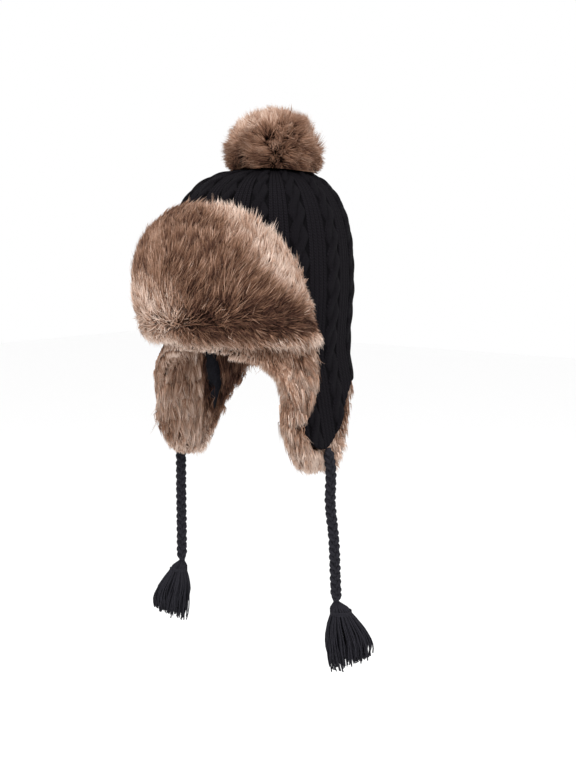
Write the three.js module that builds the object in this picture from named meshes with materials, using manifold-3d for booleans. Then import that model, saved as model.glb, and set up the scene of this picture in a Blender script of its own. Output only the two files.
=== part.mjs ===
import * as THREE from 'three';
import { mergeVertices } from 'three/addons/utils/BufferGeometryUtils.js';
import Module from 'manifold-3d';

// A cable-knit beanie with faux-fur flaps, a pompom and two plaited ties, in the form it has when worn.
// Millimetres. The front is -Y, the wearer's left is +X, and up is +Z.
// Every height below is measured from the ear line. The whole hat is then lowered by SEAT_HEIGHT,
// so that the origin is the point inside the crown that rests on top of the head.

const CROWN_HALF_WIDTH = 89.8;
const CROWN_HALF_LENGTH = 108;
const WIDEST_HEIGHT = 100;
const CROWN_TOP = 227;
const DOME_POWER = 3;
const TAPER_PER_MM = 0.00077;
const POMPOM_SET_BACK = 20;
const SET_BACK_POWER = 1.5;
const KNIT_WALL = 4;
const SEAT_HEIGHT = CROWN_TOP - KNIT_WALL;
const CLEARANCE = 0.35;

// The knit repeats this many times round the head: one wide cable, then a group of narrow ribs.
const CABLE_COUNT = 14;
const FIRST_CABLE_ANGLE = 4;
const CABLE_MIDDLE = 0.3;
const GATHER_START = 0.15;
const GATHER_REACH = 0.35;
const CABLE_PROFILE = [
  { share: 0.00, rise: 0.0 },
  { share: 0.08, rise: 1.5 },
  { share: 0.30, rise: 2.2 },
  { share: 0.52, rise: 1.5 },
  { share: 0.60, rise: 0.0 },
  { share: 0.80, rise: 1.2 },
];

// The lower edge of the knit. The angle is 0 over the ear, 90 at the back and -90 at the front.
const HEM_LINE = [
  { angle: -90, height: 46 },
  { angle: -60, height: 43 },
  { angle: -51, height: 38 },
  { angle: -45, height: 20 },
  { angle: -40, height: -8 },
  { angle: -34, height: -36 },
  { angle: -27, height: -51 },
  { angle: -16, height: -57 },
  { angle: -8, height: -53 },
  { angle: 2, height: -38 },
  { angle: 12, height: -18 },
  { angle: 22, height: 2 },
  { angle: 33, height: 10 },
  { angle: 90, height: 12 },
];

// The earflap leaves the round of the crown at the top and hangs nearly flat, leaning outwards.
const FLAP_TOP_HEIGHT = 64;
const FLAP_FREE_HEIGHT = 10;
const FLAP_HALF_WIDTH = 93;
const FLAP_LEAN = 0.18;
const FLAP_TIP_HEIGHT = -56;
const FLAP_MIDDLE = -17;
const FLAP_FRONT_START = 74;
const FLAP_FRONT_END = 104;
const FLAP_REAR_START = 42;
const FLAP_REAR_END = 78;
const FLAP_CURVE = 1 / 1500;

const RIM_SHARES = [0.2, 0.4, 0.55, 0.7, 0.85, 1];
const DOME_RISES = [86, 80, 72, 63, 54, 44, 33, 21, 10, 0];
const INNER_RIM_SHARES = [1, 0.8, 0.55, 0.28, 0];
const INNER_DOME_RISES = [21, 40, 56, 70, 82];
const HEM_DROP = 5;
const FUR_CLEARANCE = 0.5;

// The turned-up front flap: a thick pad of fur that hugs the crown from temple to temple.
const FRONT_FLAP_REACH = 77;
const FRONT_FLAP_BOTTOM = 50;
const FRONT_FLAP_HEIGHT = 147;
const FRONT_FLAP_STAND_OFF = 3.3;
const FRONT_FLAP_STEPS = 40;
const FRONT_FLAP_SPREAD = 2.4;
const FRONT_FLAP_SHOULDER = 0.6;
const FRONT_FLAP_END = 1;
const FRONT_FLAP_END_HEIGHT = 0.4;
const FRONT_FLAP_END_DEPTH = 3;
const FRONT_FLAP_LOCKS_FROM = 0.4;
const FRONT_FLAP_FULL_LOCKS = 40;
const FRONT_FLAP_DEPTH = [
  { angle: 0, depth: 47 },
  { angle: 38, depth: 38 },
  { angle: 55, depth: 30 },
  { angle: 68, depth: 19 },
  { angle: 77, depth: 8 },
];
const FRONT_FLAP_SECTION = [
  { share: 0.00, depth: 0.12 },
  { share: 0.00, depth: 0.46 },
  { share: 0.03, depth: 0.70 },
  { share: 0.10, depth: 0.88 },
  { share: 0.20, depth: 0.96 },
  { share: 0.32, depth: 1.00 },
  { share: 0.44, depth: 1.00 },
  { share: 0.55, depth: 0.97 },
  { share: 0.65, depth: 0.91 },
  { share: 0.74, depth: 0.82 },
  { share: 0.82, depth: 0.66 },
  { share: 0.90, depth: 0.44 },
  { share: 0.96, depth: 0.22 },
  { share: 1.00, depth: 0.04 },
  { share: 0.94, depth: 0.00 },
  { share: 0.75, depth: 0.00 },
  { share: 0.55, depth: 0.00 },
  { share: 0.35, depth: 0.00 },
  { share: 0.15, depth: 0.00 },
];

const LOCK_RISE = [3.4, 0.8, -2.2, -0.5];

// The fur of an earflap, for the wearer's left side: front and rear edge, how far it turns over the
// front edge of the knit, how far it stands outside the knit there, and how thick it is on the inside.
const EAR_FUR_ROWS = [
  { height: 46, front: -68, rear: 56, wrap: -24, outside: 9, inside: 7 },
  { height: 36, front: -71, rear: 62, wrap: -24, outside: 12, inside: 10 },
  { height: 26, front: -72, rear: 64, wrap: -25, outside: 13, inside: 12 },
  { height: 15, front: -73, rear: 62, wrap: -28, outside: 13, inside: 14 },
  { height: 4, front: -73, rear: 58, wrap: -32, outside: 13, inside: 15 },
  { height: -7, front: -73, rear: 51, wrap: -36, outside: 12, inside: 16 },
  { height: -18, front: -72, rear: 42, wrap: -42, outside: 11, inside: 17 },
  { height: -29, front: -70, rear: 33, wrap: -49, outside: 10, inside: 17 },
  { height: -40, front: -67, rear: 26, wrap: -56, outside: 8, inside: 18 },
  { height: -50, front: -63, rear: 20, wrap: -60, outside: 4, inside: 18 },
  { height: -59, front: -58, rear: 14, wrap: -60, outside: 0, inside: 18 },
  { height: -67, front: -52, rear: 8, wrap: -54, outside: -4, inside: 17 },
  { height: -74, front: -45, rear: 1, wrap: -46, outside: -6, inside: 15 },
  { height: -78, front: -36, rear: -8, wrap: -38, outside: -9, inside: 12 },
];
const EAR_FUR_ACROSS = 13;
const EAR_FUR_CORE = -9.5;
const EAR_FUR_BACKING = -7.5;
const EAR_FUR_THINNEST = 1.5;
const EAR_FUR_LOCK = 0.7;
const EAR_FUR_TURN_START = 8;
const EAR_FUR_TURN_END = 6;
const EAR_FUR_OUTER_POWER = 4;
const EAR_FUR_INNER_POWER = 0.75;
const EAR_FUR_END_RISE = 0.5;
const EAR_FUR_END_DROP = 2;
const EDGE_SHARE = 0.98;
const TROUGH_MIDDLE = -4;
const TROUGH_HALF_WIDTH = 13;
const TROUGH_DEPTH = 11;
const TROUGH_FULL_THICKNESS = 16;

// The pompom: a ball of radial locks, pressed flat where it is sewn on the gathered top.
const POMPOM_MIDDLE = 255;
const POMPOM_RADIUS = 51;
const POMPOM_HALF_HEIGHT = 35;
const POMPOM_RINGS = 12;
const POMPOM_COLUMNS = 28;
const POMPOM_LOCK = 3;

// The ties leave the tips of the flaps and hang free. Each route is chosen by hand.
const BRAID_RADIUS = 4.6;
const BRAID_SIDES = 10;
const BRAID_STEPS = 12;
const LEFT_ROUTE = [
  [102.5, -19.0, -56.3], [103.3, -18.0, -66.0], [104.2, -17.0, -76.0], [104.4, -16.6, -87.0],
  [104.2, -16.9, -98.0], [104.0, -17.4, -109.0], [104.3, -16.8, -120.0], [104.9, -15.6, -131.0],
  [105.6, -14.3, -142.0], [106.1, -13.4, -153.0], [106.4, -12.9, -164.0], [106.6, -12.5, -175.0],
  [106.8, -12.0, -186.0], [107.0, -11.5, -197.0], [107.2, -11.0, -208.0], [107.4, -10.4, -218.0],
];
const RIGHT_ROUTE = [
  [-103.5, -19.0, -55.8], [-104.3, -18.2, -66.0], [-104.9, -17.4, -76.0], [-105.1, -17.1, -86.0],
  [-105.0, -17.2, -96.0], [-104.7, -17.6, -106.0], [-104.5, -17.9, -116.0], [-104.6, -17.8, -126.0],
  [-104.9, -17.5, -136.0], [-105.1, -17.2, -146.0], [-105.0, -17.2, -156.0], [-104.8, -17.4, -166.0],
  [-104.7, -17.5, -176.0], [-104.8, -17.4, -186.0], [-104.9, -17.3, -196.0], [-105.0, -17.2, -206.0],
];

// A tassel: a folded-over head of yarn, a tight neck, and a skirt of strands that swings to one side.
const TASSEL_ROWS = [
  { drop: 1.5, swing: 0.5, across: 6, deep: 6 },
  { drop: 5, swing: 2, across: 9, deep: 8.5 },
  { drop: 10, swing: 3.5, across: 10.5, deep: 9.5 },
  { drop: 15, swing: 4.5, across: 13, deep: 11 },
  { drop: 22, swing: 7, across: 17, deep: 13 },
  { drop: 32, swing: 10.5, across: 21, deep: 15 },
  { drop: 43, swing: 12.5, across: 23, deep: 16 },
  { drop: 53, swing: 12.5, across: 22, deep: 15.5 },
  { drop: 62, swing: 12, across: 20, deep: 14 },
];
const LEFT_TASSEL_FULLNESS = 1;
const RIGHT_TASSEL_FULLNESS = 0.8;
const TASSEL_COLUMNS = 24;
const TASSEL_RIDGE = 0.09;
const TASSEL_OPEN_START = 15;
const TASSEL_OPEN_END = 35;
const TASSEL_SWING_TURN = 40;
const TASSEL_RAGGED = 2.5;
const TASSEL_RAGGED_STEP = 2.3;
const TASSEL_HOLLOW = 8;
const TASSEL_TILT = 7;

const degrees = THREE.MathUtils.degToRad;
const { lerp, clamp, smoothstep } = THREE.MathUtils;
const at = (x, y, z) => new THREE.Vector3(x, y, z);

// Reads a table of rows by one column and returns another, in straight steps.
function lookUp(table, key, value, result) {
  if (value <= table[0][key]) return table[0][result];
  for (let row = 1; row < table.length; row += 1) {
    const before = table[row - 1];
    const after = table[row];
    if (value <= after[key]) {
      const share = (value - before[key]) / (after[key] - before[key]);
      return lerp(before[result], after[result], share);
    }
  }
  return table[table.length - 1][result];
}

// How wide the crown is at a height, as a share of its widest ring.
function ringShare(height) {
  if (height <= WIDEST_HEIGHT) return 1 - TAPER_PER_MM * (WIDEST_HEIGHT - height);
  const climb = clamp((height - WIDEST_HEIGHT) / (CROWN_TOP - WIDEST_HEIGHT), 0, 1);
  return (1 - climb ** DOME_POWER) ** (1 / DOME_POWER);
}

function setBack(share) {
  return POMPOM_SET_BACK * clamp(1 - share, 0, 1) ** SET_BACK_POWER;
}

// The x of the earflap's cloth at a place on it, for the wearer's left side.
function flapSide(y, height) {
  const lean = FLAP_LEAN * Math.max(height, FLAP_TIP_HEIGHT);
  return FLAP_HALF_WIDTH - lean - FLAP_CURVE * (y - FLAP_MIDDLE) ** 2;
}

// A point at a height on the crown or the flap, pushed out by offset in the horizontal plane.
function sidePoint(angle, height, offset) {
  const share = ringShare(height);
  const turn = degrees(angle);
  const round = CROWN_HALF_WIDTH * share * Math.cos(turn);
  const y = CROWN_HALF_LENGTH * share * Math.sin(turn);
  const hanging = 1 - smoothstep(height, FLAP_FREE_HEIGHT, FLAP_TOP_HEIGHT);
  const overEar = smoothstep(y, -FLAP_FRONT_END, -FLAP_FRONT_START)
    * (1 - smoothstep(y, FLAP_REAR_START, FLAP_REAR_END));
  const flat = Math.sign(round) * flapSide(y, height);
  const flatness = hanging * overEar;
  return at(
    lerp(round, flat, flatness) + offset * lerp(Math.cos(turn), Math.sign(round), flatness),
    y + offset * Math.sin(turn) + setBack(share),
    height,
  );
}

// A point on the dome, where rise is 0 degrees at the widest ring and 90 at the top.
function domePoint(angle, rise, offset) {
  const turn = degrees(angle);
  const share = Math.cos(degrees(rise)) ** (2 / DOME_POWER);
  const climb = Math.sin(degrees(rise)) ** (2 / DOME_POWER);
  return at(
    (CROWN_HALF_WIDTH + offset) * share * Math.cos(turn),
    (CROWN_HALF_LENGTH + offset) * share * Math.sin(turn) + setBack(share),
    WIDEST_HEIGHT + (CROWN_TOP - WIDEST_HEIGHT + offset) * climb,
  );
}

function hemHeight(angle) {
  const fromEar = THREE.MathUtils.radToDeg(Math.asin(Math.sin(degrees(angle))));
  return lookUp(HEM_LINE, 'angle', fromEar, 'height');
}

function signedVolume(geometry) {
  const place = geometry.getAttribute('position');
  const index = geometry.getIndex();
  const corners = [at(0, 0, 0), at(0, 0, 0), at(0, 0, 0)];
  let sum = 0;
  for (let start = 0; start < index.count; start += 3) {
    corners.forEach((corner, step) => corner.fromBufferAttribute(place, index.getX(start + step)));
    sum += corners[0].dot(corners[1].cross(corners[2])) / 6;
  }
  return sum;
}

// A closed skin over rings of equal length, ended by a point at each end, with its faces outward.
function loft(rings, firstPoint, lastPoint) {
  const around = rings[0].length;
  const points = rings.flat().concat([firstPoint, lastPoint]);
  const first = points.length - 2;
  const last = points.length - 1;
  const faces = [];
  for (let column = 0; column < around; column += 1) {
    const next = (column + 1) % around;
    faces.push(first, next, column);
    for (let ring = 0; ring + 1 < rings.length; ring += 1) {
      const lower = ring * around;
      const upper = lower + around;
      faces.push(lower + column, lower + next, upper + next);
      faces.push(lower + column, upper + next, upper + column);
    }
    const end = (rings.length - 1) * around;
    faces.push(last, end + column, end + next);
  }
  const geometry = new THREE.BufferGeometry().setFromPoints(points);
  geometry.setIndex(faces);
  if (signedVolume(geometry) < 0) {
    geometry.setIndex(faces.reverse());
  }
  return geometry;
}

const wasm = await Module();
wasm.setup();

function toSolid(geometry) {
  const bare = geometry.clone();
  bare.deleteAttribute('normal');
  bare.deleteAttribute('uv');
  const merged = mergeVertices(bare, 1e-4);
  return new wasm.Manifold(new wasm.Mesh({
    numProp: 3,
    vertProperties: new Float32Array(merged.getAttribute('position').array),
    triVerts: new Uint32Array(merged.getIndex().array),
  }));
}

function toGeometry(solid) {
  const mesh = solid.getMesh();
  const geometry = new THREE.BufferGeometry();
  geometry.setAttribute('position', new THREE.BufferAttribute(mesh.vertProperties, 3));
  geometry.setIndex(new THREE.BufferAttribute(mesh.triVerts, 1));
  return geometry;
}

// The angles of the knit's columns, and how far each stands out, for all the cables round the head.
function knitColumns() {
  const columns = [];
  const repeat = 360 / CABLE_COUNT;
  for (let cable = 0; cable < CABLE_COUNT; cable += 1) {
    for (const { share, rise } of CABLE_PROFILE) {
      columns.push({ angle: FIRST_CABLE_ANGLE + repeat * (cable + share - CABLE_MIDDLE), rise });
    }
  }
  return columns;
}

// The knitted wall, from the outer top down to the hem and back up the inside. A margin makes it
// thicker all over and deeper at the hem, for the space that the fur leaves free round it.
function knitShell(margin) {
  const columns = knitColumns();
  const drop = HEM_DROP * margin;
  const ringAt = (heightOf, rise) => columns.map((column) => sidePoint(
    column.angle,
    heightOf(hemHeight(column.angle)),
    rise(column),
  ));
  const outwards = (column) => margin + column.rise;
  const inwards = () => -KNIT_WALL - margin;
  const outer = DOME_RISES.map((rise) => columns.map((column) => {
    const share = Math.cos(degrees(rise)) ** (2 / DOME_POWER);
    const gathered = clamp((share - GATHER_START) / GATHER_REACH, 0, 1);
    return domePoint(column.angle, rise, margin + column.rise * gathered);
  }));
  for (const share of RIM_SHARES) {
    outer.push(ringAt((hem) => lerp(WIDEST_HEIGHT, hem, share), outwards));
  }
  if (drop > 0) {
    outer.push(ringAt((hem) => hem - drop, outwards), ringAt((hem) => hem - drop, inwards));
  }
  const inner = INNER_RIM_SHARES.map((share) => ringAt(
    (hem) => lerp(WIDEST_HEIGHT, hem, share),
    inwards,
  ));
  for (const rise of INNER_DOME_RISES) {
    inner.push(columns.map((column) => domePoint(column.angle, rise, -KNIT_WALL - margin)));
  }
  return loft(outer.concat(inner), domePoint(0, 90, margin), domePoint(0, 90, -KNIT_WALL - margin));
}

// Locks of fur lie like shingles: each row of tips stands out, and the next row's roots lie deep.
function lockRise(row, column) {
  return LOCK_RISE[(row + 2 * (column % 2)) % LOCK_RISE.length];
}

function frontFlapTop(angle) {
  const across = clamp(Math.abs(angle) / FRONT_FLAP_REACH, 0, 1);
  return (1 - across ** FRONT_FLAP_SPREAD) ** FRONT_FLAP_SHOULDER;
}

function frontFurFlap() {
  const rings = [];
  for (let step = 0; step <= FRONT_FLAP_STEPS; step += 1) {
    const angle = (FRONT_FLAP_REACH - FRONT_FLAP_END) * (2 * step / FRONT_FLAP_STEPS - 1);
    const tall = FRONT_FLAP_HEIGHT * frontFlapTop(angle);
    const deep = lookUp(FRONT_FLAP_DEPTH, 'angle', Math.abs(angle), 'depth');
    rings.push(FRONT_FLAP_SECTION.map(({ share, depth }, row) => {
      const lockSize = depth > FRONT_FLAP_LOCKS_FROM ? deep / FRONT_FLAP_FULL_LOCKS : 0;
      const height = FRONT_FLAP_BOTTOM + tall * share;
      const lock = lockRise(row, step) * Math.min(lockSize, 1);
      return sidePoint(angle - 90, height, FRONT_FLAP_STAND_OFF + deep * depth + lock);
    }));
  }
  const endPoint = (angle) => sidePoint(
    angle - 90,
    FRONT_FLAP_BOTTOM + FRONT_FLAP_END_HEIGHT * FRONT_FLAP_HEIGHT * frontFlapTop(angle),
    FRONT_FLAP_STAND_OFF + FRONT_FLAP_END_DEPTH,
  );
  const last = FRONT_FLAP_REACH - FRONT_FLAP_END / 2;
  return loft(rings, endPoint(-last), endPoint(last));
}

// The x of the cloth's outer face at a place beside the ear, on the crown or on the flap.
function clothSide(y, height) {
  const share = ringShare(height);
  const across = clamp(y / (CROWN_HALF_LENGTH * share), -EDGE_SHARE, EDGE_SHARE);
  const angle = THREE.MathUtils.radToDeg(Math.asin(across));
  return sidePoint(angle, height, 0).x;
}

function earFurRing(row, level) {
  const points = [];
  const { height, front, rear, wrap, outside, inside } = row;
  const round = (share) => Math.sqrt(1 - (2 * share - 1) ** EAR_FUR_OUTER_POWER);
  const bulge = (share) => (1 - (2 * share - 1) ** 2) ** EAR_FUR_INNER_POWER;
  for (let step = 0; step < EAR_FUR_ACROSS; step += 1) {
    const share = (step + 0.5) / EAR_FUR_ACROSS;
    const y = lerp(front, rear, share);
    const turnedOver = 1 - smoothstep(y, wrap - EAR_FUR_TURN_START, wrap + EAR_FUR_TURN_END);
    const outer = lerp(EAR_FUR_BACKING, outside, turnedOver) - EAR_FUR_CORE;
    const lock = turnedOver > 0.5 ? EAR_FUR_LOCK * lockRise(level, step) : 0;
    points.push(at(clothSide(y, height) + EAR_FUR_CORE + (outer + lock) * round(share), y, height));
  }
  for (let step = EAR_FUR_ACROSS - 1; step >= 0; step -= 1) {
    const share = (step + 0.5) / EAR_FUR_ACROSS;
    const y = lerp(front, rear, share);
    const away = (y - TROUGH_MIDDLE) / TROUGH_HALF_WIDTH;
    const trough = TROUGH_DEPTH * Math.exp(-(away ** 2)) * Math.min(inside / TROUGH_FULL_THICKNESS, 1);
    const lock = EAR_FUR_LOCK * lockRise(level, step);
    const inner = Math.max((inside - trough + lock) * bulge(share), EAR_FUR_THINNEST);
    points.push(at(clothSide(y, height) + EAR_FUR_CORE - inner, y, height));
  }
  return points;
}

function earFurPad() {
  const rings = EAR_FUR_ROWS.map(earFurRing);
  const middle = (row, lift) => {
    const y = (row.front + row.rear) / 2;
    const x = clothSide(y, row.height) + (EAR_FUR_BACKING + EAR_FUR_CORE - row.inside) / 2;
    return at(x, y, row.height + lift);
  };
  const top = EAR_FUR_ROWS[0];
  const bottom = EAR_FUR_ROWS[EAR_FUR_ROWS.length - 1];
  return loft(rings, middle(top, EAR_FUR_END_RISE), middle(bottom, -EAR_FUR_END_DROP));
}

function pompom() {
  const seat = CROWN_TOP + CLEARANCE;
  const rings = [];
  for (let ring = 1; ring < POMPOM_RINGS; ring += 1) {
    const polar = Math.PI * ring / POMPOM_RINGS;
    const points = [];
    for (let column = 0; column < POMPOM_COLUMNS; column += 1) {
      const turn = 2 * Math.PI * (column + 0.5 * (ring % 2)) / POMPOM_COLUMNS;
      const lock = POMPOM_LOCK * (column % 2 === 0 ? 1 : -1);
      const wide = (POMPOM_RADIUS + lock) * Math.sin(polar);
      const height = POMPOM_MIDDLE - (POMPOM_HALF_HEIGHT + lock) * Math.cos(polar);
      points.push(at(
        wide * Math.cos(turn),
        wide * Math.sin(turn) + POMPOM_SET_BACK,
        Math.max(height, seat),
      ));
    }
    rings.push(points);
  }
  const top = at(0, POMPOM_SET_BACK, POMPOM_MIDDLE + POMPOM_HALF_HEIGHT);
  return loft(rings, at(0, POMPOM_SET_BACK, seat), top);
}

function braid(route) {
  const points = route.map(([x, y, z]) => at(x, y, z));
  const section = new THREE.Shape();
  for (let side = 0; side < BRAID_SIDES; side += 1) {
    const turn = 2 * Math.PI * side / BRAID_SIDES;
    const x = BRAID_RADIUS * Math.cos(turn);
    const y = BRAID_RADIUS * Math.sin(turn);
    if (side === 0) section.moveTo(x, y);
    else section.lineTo(x, y);
  }
  section.closePath();
  return new THREE.ExtrudeGeometry(section, {
    steps: BRAID_STEPS,
    extrudePath: new THREE.CatmullRomCurve3(points, false, 'centripetal'),
  });
}

function tassel(route, side, fullness) {
  const [endX, endY, endZ] = route[route.length - 1];
  const top = endZ - CLEARANCE;
  const swingX = side * Math.cos(degrees(TASSEL_SWING_TURN));
  const swingY = side * Math.sin(degrees(TASSEL_SWING_TURN));
  const place = (swing, deep, height) => at(
    endX + swing * swingX - deep * swingY,
    endY + swing * swingY + deep * swingX,
    height,
  );
  const last = TASSEL_ROWS[TASSEL_ROWS.length - 1];
  const rings = TASSEL_ROWS.map(({ drop, swing, across, deep }, row) => {
    const points = [];
    for (let column = 0; column < TASSEL_COLUMNS; column += 1) {
      const turn = 2 * Math.PI * column / TASSEL_COLUMNS;
      const opened = clamp((drop - TASSEL_OPEN_START) / (TASSEL_OPEN_END - TASSEL_OPEN_START), 0, 1);
      const ridge = 1 + TASSEL_RIDGE * opened * (column % 2 === 0 ? 1 : -1);
      const lowest = row === TASSEL_ROWS.length - 1 ? 1 : 0;
      const ragged = lowest * TASSEL_RAGGED * Math.sin(TASSEL_RAGGED_STEP * column);
      const tilted = TASSEL_TILT * (drop / last.drop) ** 2 * Math.cos(turn);
      points.push(place(
        fullness * (swing + across * ridge * Math.cos(turn)),
        fullness * deep * ridge * Math.sin(turn),
        top - drop - ragged + tilted,
      ));
    }
    return points;
  });
  return loft(rings, place(0, 0, top), place(fullness * last.swing, 0, top - last.drop + TASSEL_HOLLOW));
}

function mirrored(geometry) {
  const copy = geometry.clone();
  copy.scale(-1, 1, 1);
  copy.setIndex(Array.from(copy.getIndex().array).reverse());
  return copy;
}

const yarn = { color: 0x211f24, roughness: 0.95, metalness: 0 };
const fur = { color: 0x8a6a55, roughness: 0.9, metalness: 0 };

const hat = new THREE.Group();

function add(name, geometry, finish) {
  const mesh = new THREE.Mesh(geometry, new THREE.MeshStandardMaterial(finish));
  mesh.name = name;
  hat.add(mesh);
}

const knitSpace = toSolid(knitShell(FUR_CLEARANCE));
const clearOfKnit = (pad) => toGeometry(toSolid(pad).subtract(knitSpace));

add('knit_shell', knitShell(0), yarn);
add('front_fur_flap', frontFurFlap(), fur);
add('ear_fur_left', clearOfKnit(earFurPad()), fur);
add('ear_fur_right', clearOfKnit(mirrored(earFurPad())), fur);
add('pompom', pompom(), fur);
add('braid_left', braid(LEFT_ROUTE), yarn);
add('braid_right', braid(RIGHT_ROUTE), yarn);
add('tassel_left', tassel(LEFT_ROUTE, 1, LEFT_TASSEL_FULLNESS), yarn);
add('tassel_right', tassel(RIGHT_ROUTE, -1, RIGHT_TASSEL_FULLNESS), yarn);

hat.position.z = -SEAT_HEIGHT;

export default hat;
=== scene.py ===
"""A cable-knit beanie with faux-fur flaps, a pompom and two plaited ties that end in tassels."""
import math
from functools import partial
from typing import NamedTuple

import bmesh
import bpy
import numpy as np
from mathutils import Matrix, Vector
from mathutils.bvhtree import BVHTree
from mathutils.kdtree import KDTree


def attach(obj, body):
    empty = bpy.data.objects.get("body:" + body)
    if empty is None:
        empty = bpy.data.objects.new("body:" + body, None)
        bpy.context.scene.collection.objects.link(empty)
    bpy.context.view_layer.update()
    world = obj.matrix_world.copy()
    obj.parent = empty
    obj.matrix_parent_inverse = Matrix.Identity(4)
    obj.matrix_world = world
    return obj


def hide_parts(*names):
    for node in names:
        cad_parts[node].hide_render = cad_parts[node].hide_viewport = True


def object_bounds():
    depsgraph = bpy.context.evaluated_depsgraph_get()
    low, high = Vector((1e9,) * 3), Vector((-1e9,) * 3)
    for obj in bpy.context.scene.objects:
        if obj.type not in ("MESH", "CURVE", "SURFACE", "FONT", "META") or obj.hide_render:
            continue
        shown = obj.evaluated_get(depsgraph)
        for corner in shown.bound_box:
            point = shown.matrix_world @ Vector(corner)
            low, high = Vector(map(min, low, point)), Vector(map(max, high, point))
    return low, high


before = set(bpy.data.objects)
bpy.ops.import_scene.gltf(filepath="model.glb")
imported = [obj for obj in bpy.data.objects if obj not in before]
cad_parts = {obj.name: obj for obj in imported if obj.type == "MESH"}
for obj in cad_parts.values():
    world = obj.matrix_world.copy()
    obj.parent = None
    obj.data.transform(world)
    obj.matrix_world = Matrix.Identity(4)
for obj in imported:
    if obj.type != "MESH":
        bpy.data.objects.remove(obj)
CAD_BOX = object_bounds()
MM = 0.001

# The camera and the routes of the ties. The camera stands in front, to the wearer's left, and aims
# AXIS_ASIDE to the right of the hat's own axis, at the height of the ear line.
CAMERA_AZIMUTH = 40
CAMERA_ELEVATION = 7
CAMERA_DISTANCE = 1.5
CAMERA_LENS = 65.7
SENSOR_WIDTH = 36
AXIS_ASIDE = 0.0268
EAR_LINE = -0.223

LEFT_ROUTE = [
    (0.1025, -0.0190, -0.2793), (0.1033, -0.0180, -0.2890), (0.1042, -0.0170, -0.2990),
    (0.1044, -0.0166, -0.3100), (0.1042, -0.0169, -0.3210), (0.1040, -0.0174, -0.3320),
    (0.1043, -0.0168, -0.3430), (0.1049, -0.0156, -0.3540), (0.1056, -0.0143, -0.3650),
    (0.1061, -0.0134, -0.3760), (0.1064, -0.0129, -0.3870), (0.1066, -0.0125, -0.3980),
    (0.1068, -0.0120, -0.4090), (0.1070, -0.0115, -0.4200), (0.1072, -0.0110, -0.4310),
    (0.1074, -0.0104, -0.4410),
]
RIGHT_ROUTE = [
    (-0.1035, -0.0190, -0.2788), (-0.1043, -0.0182, -0.2890), (-0.1049, -0.0174, -0.2990),
    (-0.1051, -0.0171, -0.3090), (-0.1050, -0.0172, -0.3190), (-0.1047, -0.0176, -0.3290),
    (-0.1045, -0.0179, -0.3390), (-0.1046, -0.0178, -0.3490), (-0.1049, -0.0175, -0.3590),
    (-0.1051, -0.0172, -0.3690), (-0.1050, -0.0172, -0.3790), (-0.1048, -0.0174, -0.3890),
    (-0.1047, -0.0175, -0.3990), (-0.1048, -0.0174, -0.4090), (-0.1049, -0.0173, -0.4190),
    (-0.1050, -0.0172, -0.4290),
]


def make_camera():
    """Sets up the camera at the photograph's angle."""
    azimuth = math.radians(CAMERA_AZIMUTH)
    elevation = math.radians(CAMERA_ELEVATION)
    back = Vector((
        math.sin(azimuth) * math.cos(elevation),
        -math.cos(azimuth) * math.cos(elevation),
        math.sin(elevation),
    ))
    across = Vector((math.cos(azimuth), math.sin(azimuth), 0))
    data = bpy.data.cameras.new("camera")
    data.lens = CAMERA_LENS
    data.sensor_width = SENSOR_WIDTH
    camera = bpy.data.objects.new("camera", data)
    bpy.context.collection.objects.link(camera)
    camera.location = Vector((0, 0, EAR_LINE)) + back * CAMERA_DISTANCE
    target = Vector((0, 0, EAR_LINE)) + across * AXIS_ASIDE
    camera.rotation_euler = (target - camera.location).to_track_quat("-Z", "Y").to_euler()
    bpy.context.scene.camera = camera


# The hat's form in millimetres and degrees. Heights are measured from the ear line, as the part's are.
CROWN_HALF_WIDTH = 89.8
CROWN_HALF_LENGTH = 108
WIDEST_HEIGHT = 100
CROWN_TOP = 227
DOME_POWER = 3
TAPER_PER_MM = 0.00077
POMPOM_SET_BACK = 20
SET_BACK_POWER = 1.5
KNIT_WALL = 4
FLAP_TOP_HEIGHT = 64
FLAP_FREE_HEIGHT = 10
FLAP_HALF_WIDTH = 93
FLAP_LEAN = 0.18
FLAP_TIP_HEIGHT = -56
FLAP_MIDDLE = -17
FLAP_FRONT = (-104, -74)
FLAP_REAR = (32, 67)
FLAP_CURVE = 1 / 1500
HEM_ANGLES = [-90, -60, -51, -45, -40, -34, -27, -16, -8, 2, 12, 22, 33, 90]
HEM_HEIGHTS = [46, 43, 39, 26, -8, -36, -51, -57, -53, -37, -15, 7, 12, 12]
HEM_ROUNDING = 6
WIDEST_SINE = 0.98

# Ripples and waves: how many a ripple is made of, how their lengths differ, and where they may start.
RIPPLE_WAVES = 5
RIPPLE_SPREAD = (0.6, 1.4)
RIPPLE_HEIGHT = 2.6
ANY_PHASE = 6.3


def smoothstep(value, low, high):
    """Goes from 0 at low to 1 at high with a soft start and end."""
    share = np.clip((value - low) / (high - low), 0, 1)
    return share * share * (3 - 2 * share)


def mix(first, second, share):
    """Goes from first to second as share goes from 0 to 1."""
    return first + (second - first) * share


def ring_share(height):
    """How wide the crown is at a height, as a share of its widest ring."""
    climb = np.clip((height - WIDEST_HEIGHT) / (CROWN_TOP - WIDEST_HEIGHT), 0, 1)
    side = 1 - TAPER_PER_MM * (WIDEST_HEIGHT - height)
    return np.where(height > WIDEST_HEIGHT, (1 - climb ** DOME_POWER) ** (1 / DOME_POWER), side)


def set_back(share):
    """How far a ring of the crown lies behind the widest one."""
    return POMPOM_SET_BACK * np.clip(1 - share, 0, 1) ** SET_BACK_POWER


def flap_side(y, height):
    """How far out the earflap's cloth hangs."""
    lean = FLAP_LEAN * np.maximum(height, FLAP_TIP_HEIGHT)
    return FLAP_HALF_WIDTH - lean - FLAP_CURVE * (y - FLAP_MIDDLE) ** 2


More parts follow.
